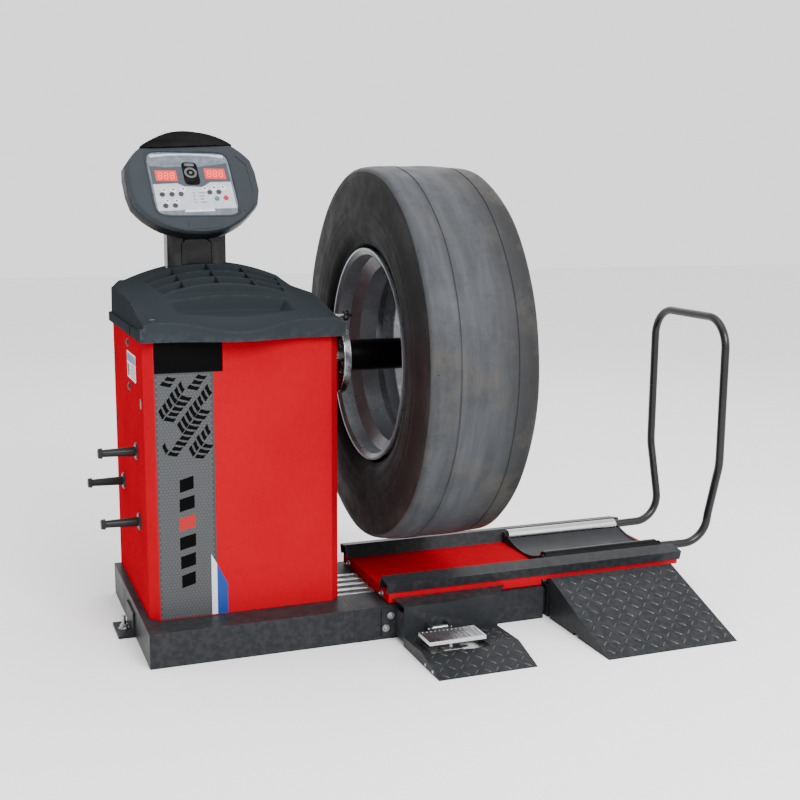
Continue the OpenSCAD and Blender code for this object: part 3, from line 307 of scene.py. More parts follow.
NODE_MATS = {
    "dark": ["base_frame", "base_extension", "base_brackets", "spindle_bracket", "spindle_housing",
             "pedal_box", "ramp", "loading_stand",
             "lift_arms_left", "lift_arms_right", "platform_rails", "tray_trolley"],
    "red": ["cabinet_shell", "cabinet_back_panel", "platform_deck"],
    "black_paint": ["display_column", "trolley_handle"],
    "grey_plastic": ["weight_tray_lid", "display_bezel"],
    "black_plastic": ["tool_pegs", "side_plugs", "display_shell", "mains_inlet", "gauge_knob"],
    "black_steel": ["shaft_sleeve", "roller_front"], "disc": ["flange_disc"],
    "steel": ["main_shaft", "spindle_bearings", "force_sensors", "cylinder_rod", "roller_rear", "gauge_rod"],
    "zinc": ["anchor_bolts", "lift_cylinder", "pedal_valve", "shaft_pulley", "centering_cone", "clamp_nut",
             "motor_pulley"],
    "alu": ["rail_cover", "foot_pedal"],
    "rim": ["wheel_rim"], "tread": ["tyre"], "belt": ["drive_belt"], "motor": ["drive_motor"],
    "board": ["control_board"],
    "foil": ["keypad_panel"], "led": ["led_windows"], "brass": ["air_inlet"],
    "key_black": ["key_menu", "key_next", "key_mode", "key_minus", "key_plus", "key_width", "key_offset"],
    "key_green": ["key_start"], "key_red": ["key_stop", "power_switch"],
}
OF_NODE = {n: k for k, ns in NODE_MATS.items() for n in ns}
for name, key in OF_NODE.items():
    data = frame["nodes"][name].data
    data.materials.clear()
    data.materials.append(M[key])
BODY = {n: b for b, ns in frame["record"]["behaviour"]["bodies"].items() for n in ns}

# ---------------------------------------------------------------- helpers


def piece(name, bm, mats, body, replaced=(), smooth=40):
    mesh = bpy.data.meshes.new(name)
    bm.normal_update()
    bm.to_mesh(mesh)
    bm.free()
    for m in mats:
        mesh.materials.append(M[m])
    for p in mesh.polygons:
        p.use_smooth = True
    mesh.set_sharp_from_angle(angle=math.radians(smooth))
    o = bpy.data.objects.new(name, mesh)
    bpy.context.scene.collection.objects.link(o)
    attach(o, body)
    if replaced:
        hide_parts(*replaced)
    return o


def soften(node, width, segments=2, angle=32):
    """A copy of a CAD node with rounded edges, shown in its place."""
    src = frame["nodes"][node]
    bm = bmesh.new()
    bm.from_mesh(src.data)
    bmesh.ops.remove_doubles(bm, verts=bm.verts, dist=1e-6)
    bmesh.ops.dissolve_limit(bm, angle_limit=math.radians(0.5), verts=bm.verts, edges=bm.edges)
    o = piece(node + "_soft", bm, [OF_NODE[node]], BODY[node], (node,), 30)
    mod = o.modifiers.new("edges", "BEVEL")
    mod.width = width * MM
    mod.segments = segments
    mod.limit_method = "ANGLE"
    mod.angle_limit = math.radians(angle)
    mod.harden_normals = True
    return o


def grid_faces(bm, rings, closed=False, mat=0, flip=False):
    """Quads between rows of vertices."""
    n = len(rings[0])
    for a, b in zip(rings, rings[1:]):
        for i in range(n if closed else n - 1):
            j = (i + 1) % n
            q = (a[i], a[j], b[j], b[i]) if not flip else (b[i], b[j], a[j], a[i])
            f = bm.faces.new(q)
            f.material_index = mat


def revolve(profile, segments=160, mats=None):
    """A closed profile of (x, r) in mm, turned round the spindle."""
    bm = bmesh.new()
    rings = []
    for x, r in profile:
        rings.append([
            bm.verts.new((x * MM, r * MM * math.sin(t), AXIS_Z + r * MM * math.cos(t)))
            for t in (2 * math.pi * k / segments for k in range(segments))
        ])
    rings.append(rings[0])
    n = len(rings)
    for k in range(n - 1):
        for i in range(segments):
            j = (i + 1) % segments
            f = bm.faces.new((rings[k][i], rings[k + 1][i], rings[k + 1][j], rings[k][j]))
            if mats:
                f.material_index = mats(k)
    bmesh.ops.recalc_face_normals(bm, faces=bm.faces)
    return bm


def smooth_path(points, times=3):
    """Corner cutting on a closed list of points."""
    for _ in range(times):
        n = len(points)
        out = []
        for i in range(n):
            a, b = points[i], points[(i + 1) % n]
            out.append(tuple(a[k] * 0.75 + b[k] * 0.25 for k in range(len(a))))
            out.append(tuple(a[k] * 0.25 + b[k] * 0.75 for k in range(len(a))))
        points = out
    return points


def tube(name, points, radius, mat, body, replaced=(), sides=24):
    """A round tube along points in metres, with closed ends."""
    bm = bmesh.new()
    pts = [Vector(p) for p in points]
    side = None
    rings = []
    for i, p in enumerate(pts):
        t = (pts[min(i + 1, len(pts) - 1)] - pts[max(i - 1, 0)]).normalized()
        if side is None:
            side = t.orthogonal().normalized()
        side = (side - t * side.dot(t)).normalized()
        other = t.cross(side)
        rings.append([bm.verts.new(p + radius * (math.cos(a) * side + math.sin(a) * other))
                      for a in (2 * math.pi * k / sides for k in range(sides))])
    grid_faces(bm, rings, closed=True)
    bm.faces.new(rings[0][::-1])
    bm.faces.new(rings[-1])
    bmesh.ops.recalc_face_normals(bm, faces=bm.faces)
    return piece(name, bm, [mat], body, replaced)


def reorder(parts, key):
    """Sort a mesh's vertices or faces; their own sort takes only numbers."""
    rank = {part: k for k, part in enumerate(sorted(parts, key=key))}
    parts.sort(key=lambda part: rank[part])
    parts.index_update()


def settle(bm):
    """Give vertices and faces the same order in every run, which bevels and extrusions don't."""
    reorder(bm.verts, lambda v: tuple(round(c, 7) for c in v.co))
    reorder(bm.faces, lambda f: sorted(v.index for v in f.verts))


def hex_bolt(bm, place, axis, size=0.013, head=0.007):
    """Washer, bevelled hexagon head and thread end on a face."""
    turn = Vector(axis).to_track_quat("Z", "Y").to_matrix().to_4x4()
    at = Matrix.Translation(place) @ turn
    bmesh.ops.create_cone(bm, cap_ends=True, segments=32, radius1=size * 0.9, radius2=size * 0.86,
                          depth=0.0016, matrix=at @ Matrix.Translation((0, 0, 0.0008)))
    made = bmesh.ops.create_cone(bm, cap_ends=True, segments=6, radius1=size * 0.62, radius2=size * 0.62,
                                 depth=head, matrix=at @ Matrix.Translation((0, 0, 0.0016 + head / 2)))
    bm.edges.index_update()
    edges = sorted({e for v in made["verts"] for e in v.link_edges}, key=lambda e: e.index)
    bmesh.ops.bevel(bm, geom=edges, offset=0.0007, segments=2, affect="EDGES")
    bmesh.ops.create_cone(bm, cap_ends=True, segments=20, radius1=size * 0.3, radius2=size * 0.26,
                          depth=0.004, matrix=at @ Matrix.Translation((0, 0, 0.0016 + head + 0.001)))


# ---------------------------------------------------------------- softened sheet metal
for name, width in (("base_frame", 1.0), ("base_extension", 1.0), ("cabinet_shell", 1.0),
                    ("cabinet_back_panel", 0.6), ("platform_rails", 1.2),
                    ("platform_deck", 0.9), ("ramp", 0.9), ("pedal_box", 0.9), ("loading_stand", 0.9),
                    ("rail_cover", 0.5), ("base_brackets", 0.9), ("display_column", 2.0),
                    ("tray_trolley", 0.7),
                    ("foot_pedal", 0.7), ("tool_pegs", 1.2), ("pedal_valve", 1.0), ("flange_disc", 1.2),
                    ("shaft_sleeve", 1.5), ("roller_front", 1.2), ("roller_rear", 1.2), ("mains_inlet", 0.6)):
    soften(name, width)

# ---------------------------------------------------------------- tyre
XC = 213
TREAD_EDGE_R = 509


def tyre_profile():
    """(x, r) of the outer skin, then the inner one, closed."""
    half = [(0, 525), (20, 525), (44, 524.7), (79, 524.2), (80.5, 521.6), (83.5, 521.6), (85, 523.9),
            (104, 523.4), (120, 522.6),
            (134, 521.2), (141, 519.0), (145.5, 515.5), (147.6, 510),
            (147.2, 504), (149.2, 501.5), (149.6, 492), (150.2, 478), (151, 462), (152, 447), (153, 434),
            (154, 424), (154, 414), (153.2, 408), (154, 403), (153.4, 396), (152, 380), (151, 366),
            (149.4, 360), (150, 354),
            (146, 338), (141, 326), (137, 320), (134, 316), (134.4, 312), (131, 308), (126, 304)]
    # the two wear grooves aren't symmetrical about the tyre's middle
    far = [(x + 3 if 78 < x < 86 else x, r) for x, r in half]
    near = [(x - 11 if 78 < x < 86 else x, r) for x, r in half]
    outer = [(XC + x, r) for x, r in reversed(far[1:])] + [(XC - x, r) for x, r in near]
    inner = [(92, 287), (96, 316), (120, 330), (132, 376), (134, 425), (124, 464), (110, 485), (60, 494),
             (0, 496)]
    inside = [(XC - x, r) for x, r in inner] + [(XC + x, r) for x, r in reversed(inner[:-1])]
    return outer + inside, len(outer)


profile, outer_n = tyre_profile()


def tyre_face(k):
    if k >= outer_n - 1:
        return 1
    return 0 if min(profile[k][1], profile[k + 1][1]) > TREAD_EDGE_R else 1


bm = revolve(profile, 240, tyre_face)
rng = random.Random(5)
for v in bm.verts:
    dy, dz = v.co.y, v.co.z - AXIS_Z
    r = math.hypot(dy, dz)
    if r > 0.505:
        a = math.atan2(dy, dz)
        x = (v.co.x / MM - XC)
        dip = 0.0011 * (math.sin(a * 7 + x * 0.05) + math.sin(a * 13 + 2 + x * 0.02) * 0.6) - 0.0016
        k = (r + dip) / r
        v.co.y, v.co.z = dy * k, AXIS_Z + dz * k
piece("tyre_worn", bm, ["tread", "wall"], "spindle", ("tyre",), 50)

# narrow sipes on the worn tread
bm = bmesh.new()
for k in range(72):
    a = 2 * math.pi * k / 72 + rng.uniform(-0.035, 0.035)
    if rng.random() < 0.45:
        continue
    for x0, x1 in ((XC - 138, XC - 131 + rng.uniform(-3, 3)), (XC + 131 + rng.uniform(-3, 3), XC + 138)):
        r = 0.5200
        w = 0.0009
        quad = []
        for x, da in ((x0, -w), (x1, -w), (x1, w), (x0, w)):
            t = a + da / r
            rr = r + (0.0018 if abs(x - XC) < 130 else -0.0026)
            quad.append(bm.verts.new((x * MM, rr * math.sin(t), AXIS_Z + rr * math.cos(t))))
        bm.faces.new(quad)
piece("tyre_sipes", bm, ["ink"], "spindle")

# ---------------------------------------------------------------- rim extras: valve and stud seats
bm = bmesh.new()
for k in range(10):
    t = 2 * math.pi * k / 10
    for x, d in ((363, -1), (375, 1)):
        at = Matrix.Translation((x * MM, 0.1675 * math.sin(t), AXIS_Z + 0.1675 * math.cos(t)))
        turn = Vector((d, 0, 0)).to_track_quat("Z", "Y").to_matrix().to_4x4()
        ring = []
        for r, h in ((0.0132, 0.0), (0.0132, 0.0003), (0.0175, 0.0003), (0.0178, 0.0)):
            ring.append([bm.verts.new((at @ turn) @ Vector((r * math.cos(q), r * math.sin(q), h)))
                         for q in (2 * math.pi * i / 32 for i in range(32))])
        grid_faces(bm, ring, closed=True)
bmesh.ops.recalc_face_normals(bm, faces=bm.faces)
piece("stud_seats", bm, ["rim"], "spindle")
tube("valve_stem", [(0.300, 0.2395, AXIS_Z + 0.02), (0.335, 0.2305, AXIS_Z + 0.02),
                    (0.345, 0.2275, AXIS_Z + 0.02)], 0.0042,
     "brass", "spindle")

# ---------------------------------------------------------------- weight tray lid
LX0, LX1, LY0, LY1 = -572, -32, -144, 439
FX, FY = -290, -130            # centre of the pocket fan's arcs
POCKET_R, POCKET_STEP, POCKET_LONG, POCKET_WIDE, POCKET_WALL = 330, 68, 62, 102, 3
POCKET_FLOORS = (920.6, 929.6, 938.6)
TROUGH_X = FX - 10
NEAR_Y, NEAR_R = 308, 400      # arc of the trough's front edge
FAR_Y, FAR_R = -390, 480       # arc of its back edge
TROUGH_HALF = 160
TROUGH_FLOOR = 889.2           # above the spindle housing, whose top is at 886


def smooth(t):
    t = min(1, max(0, t))
    return t * t * (3 - 2 * t)


def bulge(x):
    u = abs(x - FX + 30) / 190
    return 0 if u >= 1 else 40 * (0.5 + 0.5 * math.cos(math.pi * u))


def lid_h(x, y):
    edge, back, rise = min(x - LX0, LX1 - x), (y + 144) / 540, smooth((y + 144) / 300)
    crown = max(0, 1 - ((x - FX) / 238) ** 2)
    k = smooth(edge / 34)
    inner = 888 + back * (64 + 49 * crown)
    dip = 16 * bulge(x) / 40 * (1 - smooth(back * 6))
    return (883 + 50 * rise) * (1 - k) + inner * k - dip


def inside_by(x, y, row, col):
    """How far a point is inside one pocket; negative when it is outside."""
    r = math.hypot(x - FX, y - FY)
    r0 = POCKET_R + POCKET_STEP * row
    end = 168 + 38 * (y - 120) / 285
    left = max(FX + col * POCKET_WIDE + POCKET_WALL, FX - end)
    rght = min(FX + (col + 1) * POCKET_WIDE - POCKET_WALL, FX + end)
    return min(r - r0, r0 + POCKET_LONG - r, x - left, rght - x)


def lid_surface(x, y):
    z = lid_h(x, y)
    if 120 < y < 410 and abs(x - FX) < 215:
        for row in range(3):
            for col in (-2, -1, 0, 1):
                d = inside_by(x, y, row, col)
                if d > -1.5:
                    floor = POCKET_FLOORS[row] + 0.02 * (y - 250)
                    k = smooth((d + 1.5) / 4.5)
                    return z + (min(z, floor) - z) * k
    d = min(NEAR_R - math.hypot(x - TROUGH_X, y - NEAR_Y), FAR_R - math.hypot(x - TROUGH_X, y - FAR_Y),
            (TROUGH_HALF - abs(x - TROUGH_X)) / 2.4)
    if d > -2:
        return z + (min(z, TROUGH_FLOOR) - z) * smooth((d + 2) / 11)
    # the pocket field stands above the ledge behind the trough
    r = math.hypot(x - FX, y - FY)
    across = smooth((190 - abs(x - FX)) / 30)
    if r < 322.2 and y > 40 and across:
        cap = 926 + 0.05 * (y - 90)
        z -= across * max(0, z - cap) * smooth((322.2 - r) / 4.2) * smooth((y - 60) / 30)
    return z


def lines(lo_, hi_, step, keys):
    """Evenly spaced values, with closer ones round each wall's edge."""
    out = {round(lo_ + (hi_ - lo_) * k / step, 2) for k in range(step + 1)}
    for key, way in keys:
        out = {v for v in out if not -2.4 < (v - key) * way < 3.8}
        out |= {round(key + way * d, 2) for d in (-2.0, -1.5, -0.6, 0.3, 1.2, 2.1, 3.0, 3.4)}
    return sorted(out)


pocket_sides = [(FX + c * POCKET_WIDE + POCKET_WALL * w, w) for c in (-1, 0, 1) for w in (-1, 1)]
row_starts = [(POCKET_R + POCKET_STEP * k, 1) for k in range(3)]
row_ends = [(POCKET_R + POCKET_STEP * k + POCKET_LONG, -1) for k in range(3)]
cols = lines(LX0 + 8, LX1 - 8, 150, pocket_sides)
arcs = lines(312, 540, 54, [(319, 1)] + row_starts + row_ends)
bm = bmesh.new()
columns = []
for x in cols:
    y0 = LY0 - bulge(x)
    y1 = FY + math.sqrt(arcs[0] ** 2 - (x - FX) ** 2)
    u = min(236, abs(x - TROUGH_X))
    near, far = NEAR_Y - math.sqrt(NEAR_R ** 2 - u * u), FAR_Y + math.sqrt(FAR_R ** 2 - u * u)
    mid0, mid1 = min(near + 9.2, (near + far) / 2 - 0.5), max(far - 9.2, (near + far) / 2 + 0.5)
    ys = [y0 + (near - 2.2 - y0) * k / 26 for k in range(26)]
    ys += [near - 2.2 + (mid0 - near + 2.2) * k / 8 for k in range(8)]
    ys += [mid0 + (mid1 - mid0) * k / 26 for k in range(26)]
    ys += [mid1 + (far + 2.2 - mid1) * k / 8 for k in range(8)]
    ys += [far + 2.2 + (y1 - far - 2.2) * k / 28 for k in range(28)]
    ys += [FY + math.sqrt(r * r - (x - FX) ** 2) for r in arcs]
    top = LY1 - 8
    ys = [min(y, top) for y in ys]
    ys += [ys[-1] + (top - ys[-1]) * k / 12 for k in range(1, 13)]
    columns.append([bm.verts.new((x * MM, y * MM, lid_surface(x, y) * MM)) for y in ys])
notch = (-406, 401, 182)
for a, b in zip(columns, columns[1:]):
    for j in range(len(a) - 1):
        q = (a[j], b[j], b[j + 1], a[j + 1])
        c = sum((v.co for v in q), Vector()) / 4 / MM
        if notch[0] < c.x < notch[0] + notch[2] and c.y > notch[1]:
            continue
        bm.faces.new(q)
bmesh.ops.remove_doubles(bm, verts=bm.verts, dist=1e-5)
bmesh.ops.dissolve_degenerate(bm, edges=bm.edges, dist=1e-5)
for v in list(bm.verts):
    if not v.link_faces:
        bm.verts.remove(v)
# side wall, the step of the lip, and the lip itself; the step runs out at the front
border = [e for e in bm.edges if len(e.link_faces) == 1]
steps = ("round", "wall", "foot", "ledge", "lip", "rim", "under")
for step in steps:
    res = bmesh.ops.extrude_edge_only(bm, edges=border)
    verts = [g for g in res["geom"] if isinstance(g, bmesh.types.BMVert)]
    border = [g for g in res["geom"] if isinstance(g, bmesh.types.BMEdge)]
    for v in verts:
        x, y = v.co.x / MM, v.co.y / MM
        front = LY0 - bulge(x)
        side = -1 if x < LX0 + 12 else 1 if x > LX1 - 12 else 0
        rear = y > LY1 - 12
        f = smooth((y - front - 6) / 70)
        in_notch = notch[0] - 4 < x < notch[0] + notch[2] + 4 and y > notch[1] - 4 and not rear
        foot = min(0.862, v.co.z - 0.004) if step == "wall" else None
        if step == "round":
            v.co.z -= 0.0022
            v.co.x += 0.0016 * side
            v.co.y += 0.0016 if rear else (-0.0010 if y < front + 1 else 0)
        elif step == "wall":
            v.co.z = 0.8665 * f + (v.co.z - 0.006) * (1 - f) if not in_notch else 0.8665
            v.co.x += 0.0010 * side
        elif step == "foot":
            v.co.z -= 0.0018
            v.co.x += 0.0008 * side
            v.co.y += 0.0010 if rear else 0
        elif step == "ledge":
            v.co.z -= 0.0012
            v.co.x += 0.0070 * side
            v.co.y += 0.0050 if rear else 0
        elif step == "lip":
            v.co.z -= 0.0024
        elif step == "rim":
            v.co.z = 0.838
        elif step == "under":
            c = Vector((-0.302, 0.14, v.co.z))
            v.co += (c - v.co).normalized() * 0.003
bmesh.ops.recalc_face_normals(bm, faces=bm.faces)
settle(bm)
piece("lid_moulding", bm, ["grey_plastic"], "machine", ("weight_tray_lid",), 50)
bm = bmesh.new()
for x in (-538, -66):
    seat = Vector((x, -112, lid_h(x, -112) + 0.4)) * MM
    at = Matrix.Translation(seat) @ Matrix.Rotation(math.radians(8), 4, "X")
    bmesh.ops.create_cone(bm, cap_ends=True, segments=36, radius1=0.0072, radius2=0.0060, depth=0.0026,
                          matrix=at)
    bmesh.ops.create_cone(bm, cap_ends=True, segments=6, radius1=0.0030, radius2=0.0030, depth=0.0004,
                          matrix=at @ Matrix.Translation((0, 0, 0.00145)))
piece("lid_screws", bm, ["black_steel"], "machine")

# ---------------------------------------------------------------- display head
HEAD = (Matrix.Translation(Vector((-332, 354, 1247)) * MM) @ Matrix.Rotation(math.radians(4), 4, "Z")
        @ Matrix.Rotation(math.radians(90 - 38), 4, "X"))
OUTLINE = [(-185, 48), (-184, -76), (-160, -117), (-133, -145), (-101, -167), (-57, -182), (-22, -187),
           (22, -186), (69, -175),
           (111, -150), (141, -125), (192, -65), (194, 70), (168, 109), (142, 134), (108, 157), (69, 172),
           (24, 179), (-6, 180),
           (-45, 173), (-81, 156), (-122, 131), (-142, 114), (-166, 81)]
outline = smooth_path(OUTLINE, 1)
PANEL = (-2, -9, 122, 113)


def ring(bm, scale, depth, lift=0.0, shape=None, dx=0.0):
    out = []
    for x, y in shape or outline:
        top = max(0.0, math.sin(math.atan2(y, x) - 0.1)) ** 2
        tall = 1 - max(0, scale - 0.96) * 0.75
        out.append(bm.verts.new(HEAD @ (Vector((x * scale + dx, y * scale * tall, depth + lift * top)) * MM)))
    return out


def panel_ring(bm, grow, depth, round_by=14):
    """A rounded rectangle with one point for each point of the outline."""
    cx, cy, hx, hy = PANEL
    hx, hy = hx + grow, hy + grow
    out = []
    for x, y in outline:
        dx, dy = x - cx, y - cy
        k = ((abs(dx) / hx) ** 9 + (abs(dy) / hy) ** 9) ** (-1 / 9)
        out.append(bm.verts.new(HEAD @ (Vector((cx + dx * k, cy + dy * k, depth)) * MM)))
    return out


bm = bmesh.new()
BACK_STEPS = ((0.30, -46, 1), (0.75, -45.5, 1), (0.95, -44, 1), (1.03, -40, 1), (1.05, -33, 1),
              (1.035, -13, 0.5))
back = [ring(bm, s, d, dx=-6 * t) for s, d, t in BACK_STEPS]
grid_faces(bm, back, closed=True)
bm.faces.new(back[0])
bmesh.ops.recalc_face_normals(bm, faces=bm.faces)
piece("head_shell", bm, ["black_plastic"], "machine", ("display_shell",), 50)
bm = bmesh.new()
front = [ring(bm, 1.035, -13, dx=-3), ring(bm, 1.020, -12.4, dx=-3), ring(bm, 1.033, -11.6, dx=-3),
         ring(bm, 1.020, -6.5, dx=-1), ring(bm, 1.002, -2.4),
         ring(bm, 0.985, -0.4), ring(bm, 0.965, 0.4), ring(bm, 0.93, 0.2), ring(bm, 0.905, -0.6),
         panel_ring(bm, 10, -2.4), panel_ring(bm, 7.5, -2.6), panel_ring(bm, 6, -0.6),
         panel_ring(bm, 3, -0.4), panel_ring(bm, 0.2, -4.8),
         panel_ring(bm, -0.5, -7.4)]
grid_faces(bm, front, closed=True)
bmesh.ops.recalc_face_normals(bm, faces=bm.faces)
piece("head_bezel", bm, ["bezel"], "machine", ("display_bezel",), 50)
# gloss hood over the top of the bezel
bm = bmesh.new()
hood = [(x, y) for x, y in outline if y > 122 + 0.064 * x]
hood = [(-139, 113)] + sorted(hood, key=lambda p: p[0]) + [(142, 131)]
mid = (0, 148)
hood_rings = []
for shrink, z in ((1.0, -5.0), (1.0, 2.6), (0.992, 3.8), (0.975, 4.3)):
    shrunk = [(mid[0] + (x - mid[0]) * shrink, mid[1] + (y - mid[1]) * shrink, z) for x, y in hood]
    hood_rings.append([bm.verts.new(HEAD @ (Vector(p) * MM)) for p in shrunk])
grid_faces(bm, hood_rings, closed=True)
bm.faces.new(hood_rings[-1])
bmesh.ops.recalc_face_normals(bm, faces=bm.faces)
piece("head_hood", bm, ["visor"], "machine", smooth=35)


def decal(bm, points, z0, mat=0, thick=0.25):
    """A thin printed or raised shape on the display face, also used for a painted highlight."""
    a = [bm.verts.new(HEAD @ (Vector((x, y, z0)) * MM)) for x, y in points]
    b = [bm.verts.new(HEAD @ (Vector((x, y, z0 + thick)) * MM)) for x, y in points]
    n = len(points)
    f = bm.faces.new(b)
    f.material_index = mat
    for i in range(n):
        f = bm.faces.new((a[i], a[(i + 1) % n], b[(i + 1) % n], b[i]))
        f.material_index = mat


def rounded(x0, y0, x1, y1, r=4, n=5):
    out = []
    for cx, cy, a0 in ((x1 - r, y1 - r, 0), (x0 + r, y1 - r, 90), (x0 + r, y0 + r, 180),
                       (x1 - r, y0 + r, 270)):
        for k in range(n + 1):
            a = math.radians(a0 + 90 * k / n)
            out.append((cx + r * math.cos(a), cy + r * math.sin(a)))
    return out


def disc(x, y, r, n=28):
    return [(x + r * math.cos(2 * math.pi * k / n), y + r * math.sin(2 * math.pi * k / n)) for k in range(n)]


bm = bmesh.new()
FACE = -5.0
decal(bm, rounded(-121, -119, 117, 101, 9), FACE, 0, 0.3)                  # blue-grey field
# pale arc along the top of the field: a painted highlight
decal(bm, [(-112, 84), (-60, 92), (0, 95), (60, 93), (108, 86), (108, 97), (60, 99.5), (0, 100.5),
           (-60, 99), (-112, 94)], FACE + 0.3, 1, 0.15)
decal(bm, [(-119, -108), (114, -96), (114, -2), (52, -4), (26, -22), (-28, -20), (-48, -9), (-119, -14)],
      FACE + 0.3, 1, 0.2)
decal(bm, [(-119, 53), (-70, 49), (-20, 53), (22, 52), (114, 67), (114, 1), (51, -2), (25, -20), (-28, -18),
           (-47, -7), (-119, -12)],
      FACE + 0.3, 3, 0.3)
decal(bm, rounded(-24, -14, 22, 68, 12), FACE + 0.7, 2, 0.3)               # centre emblem
decal(bm, disc(-1, 30, 19), FACE + 1.0, 5, 0.3)
decal(bm, disc(-1, 30, 12), FACE + 1.3, 2, 0.2)
decal(bm, disc(-1, 30, 5), FACE + 1.5, 5, 0.2)
decal(bm, rounded(-16, 54, 14, 64, 4), FACE + 1.0, 5, 0.2)
decal(bm, [(-40, -104), (44, -100), (48, -108), (-44, -112)], FACE + 0.6, 4, 0.25)
for x, y in ((-91, -35), (-63, -33), (-34, -31), (-87, -74), (-60, -73), (31, -28), (59, -25), (86, -23)):
    decal(bm, disc(x, y, 9), FACE + 0.5, 4, 0.25)
    decal(bm, rounded(x - 3.6, y - 0.5, x + 3.6, y + 4.5, 1.2), FACE + 0.75, 5, 0.1)
for k in range(4):
    decal(bm, rounded(-8, -45 - k * 11, -3, -41 - k * 11, 1.5), FACE + 0.5, 6, 0.15)
    decal(bm, rounded(10, -44.5 - k * 11, 30 - (k % 3) * 4, -41.5 - k * 11, 1.2), FACE + 0.5, 5, 0.15)
piece("keypad_print_and_highlight", bm, ["foil", "pale", "ink", "band", "white", "hex_grey", "key_red"], "machine")

bm = bmesh.new()
for x0, y0 in ((-107, -2), (40, 7)):
    decal(bm, rounded(x0 + 0.5, y0 + 0.5, x0 + 62.5, y0 + 38.5, 2), FACE + 1.2, 0, 0.4)
    for d in range(3):
        cx, cy, w, h = x0 + 14 + d * 17.5, y0 + 19.5, 10, 22
        for sx, sy, horizontal in ((0, 0.5, 1), (0, 0, 1), (0, -0.5, 1), (-0.5, 0.25, 0), (0.5, 0.25, 0),
                                   (-0.5, -0.25, 0), (0.5, -0.25, 0)):
            px, py = cx + sx * w + sy * 2, cy + sy * h
            if horizontal:
                pts = [(px - w / 2 + 1.2, py - 1.1), (px + w / 2 - 1.2, py - 1.1),
                       (px + w / 2 - 0.6, py + 1.1), (px - w / 2 + 0.8, py + 1.1)]
            else:
                pts = [(px - 1.3, py - h / 4 + 1.2), (px + 0.9, py - h / 4 + 1.2),
                       (px + 1.5, py + h / 4 - 1.2), (px - 0.7, py + h / 4 - 1.2)]
            decal(bm, pts, FACE + 1.6, 1, 0.15)
piece("led_digits", bm, ["led", "lit"], "machine")
bm = bmesh.new()
for pts in ([(-40, -147), (55, -141), (51, -170), (-44, -176)],
            [(150, 100), (180, 62), (182, -60), (138, -112), (132, -108), (174, -58), (172, 58), (145, 92)]):
    decal(bm, pts, -0.6, 0, 1.7)
piece("bezel_panels", bm, ["bezel"], "machine")

# ---------------------------------------------------------------- graphics on the cabinet
FRONT = -0.119


def plate_on_front(bm, points, layer, mat):
    y = FRONT - 0.0002 - 0.00025 * layer
    f = bm.faces.new([bm.verts.new((x * MM, y, z * MM)) for x, z in points])
    if f.normal.length == 0:
        f.normal_update()
    f.material_index = mat
    f.normal_update()
    if f.normal.y > 0:
        f.normal_flip()


bm = bmesh.new()
SX0, SX1, SZ0, SZ1 = -538, -385, 96, 755
plate_on_front(bm, [(SX0, SZ0), (SX1, SZ0), (SX1, SZ1), (SX0, SZ1)], 0, 1)
plate_on_front(bm, [(SX0, SZ1), (-360, SZ1), (-360, 835), (SX0, 835)], 0, 2)
pitch = 9.2
row = 0
z = SZ0 + 6
while z < SZ1 - 5:
    x = SX0 + 6 + (pitch / 2 if row % 2 else 0)
    while x < SX1 - 5:
        plate_on_front(bm, [(x + 4.5 * math.cos(math.radians(60 * k + 30)),
                             z + 4.5 * math.sin(math.radians(60 * k + 30)))
                            for k in range(6)], 1, 0)
        x += pitch
    z += pitch * 0.866
    row += 1
# two slanted tyre tracks of broken blocks
rng = random.Random(11)


def clip_strip(points):
    return all(SX0 + 3 < x < SX1 - 1 and 520 < z < SZ1 - 4 for x, z in points)


lean = math.radians(52)
ux, uz = math.cos(lean), math.sin(lean)
for lane in range(-2, 3):
    for step in range(-14, 15):
        for side in (-1, 1):
            cx = -462 + lane * 62 * uz + step * 17 * ux + side * 13 * uz
            cz = 605 - lane * 62 * ux + step * 17 * uz - side * 13 * ux
            w, h, skew = 11.5 + rng.uniform(-1.5, 1.5), 6.2, side * 5.5
            pts = []
            for a, b in ((-w, -h), (w, -h), (w, h), (0.2 * w, h * 0.6), (-w, h)):
                a2, b2 = a, b + skew * a / w
                pts.append((cx + a2 * uz + b2 * ux, cz - a2 * ux + b2 * uz))
            if clip_strip(pts) and rng.random() < 0.9:
                plate_on_front(bm, pts, 2, 2)
# plain slanted blocks in a column
for k in range(6):
    z0 = 178 + k * 52
    w = 22 - 1.5 * abs(k - 2.5)
    plate_on_front(bm, [(-461 - w, z0), (-461 + w, z0 + 10), (-461 + w, z0 + 44), (-461 - w, z0 + 34)], 2,
                   3 if k == 3 else 2)
# blue wedge beside the strip's foot
plate_on_front(bm, [(-385, 96), (-356, 96), (-356, 178), (-385, 236)], 0, 4)
plate_on_front(bm, [(-400, 96), (-385, 96), (-385, 236), (-400, 264)], 2, 5)
piece("front_graphics", bm, ["hex_grey", "hex_dark", "ink", "key_red", "blue", "white"], "machine")

bm = bmesh.new()
X_LEFT = -0.564


def plate_on_left(points, layer, mat):
    x = X_LEFT - 0.0002 - 0.00025 * layer
    f = bm.faces.new([bm.verts.new((x, y * MM, z * MM)) for y, z in points])
    f.material_index = mat
    f.normal_update()
    if f.normal.x > 0:
        f.normal_flip()


plate_on_left(rounded(13, 711, 165, 784, 5), 0, 0)
plate_on_left(rounded(18, 757, 160, 779, 3), 1, 1)
for k in range(5):
    plate_on_left(rounded(24, 718 + k * 7.4, 92 + (k % 3) * 18, 720.5 + k * 7.4, 1), 1, 2)
plate_on_left(rounded(128, 716, 158, 748, 2), 1, 2)
plate_on_left([(-55 + 12 * math.cos(2 * math.pi * k / 28),
                668 + 14 * math.sin(2 * math.pi * k / 28)) for k in range(28)], 1, 2)
piece("data_plate", bm, ["white", "blue", "hex_dark"], "machine")

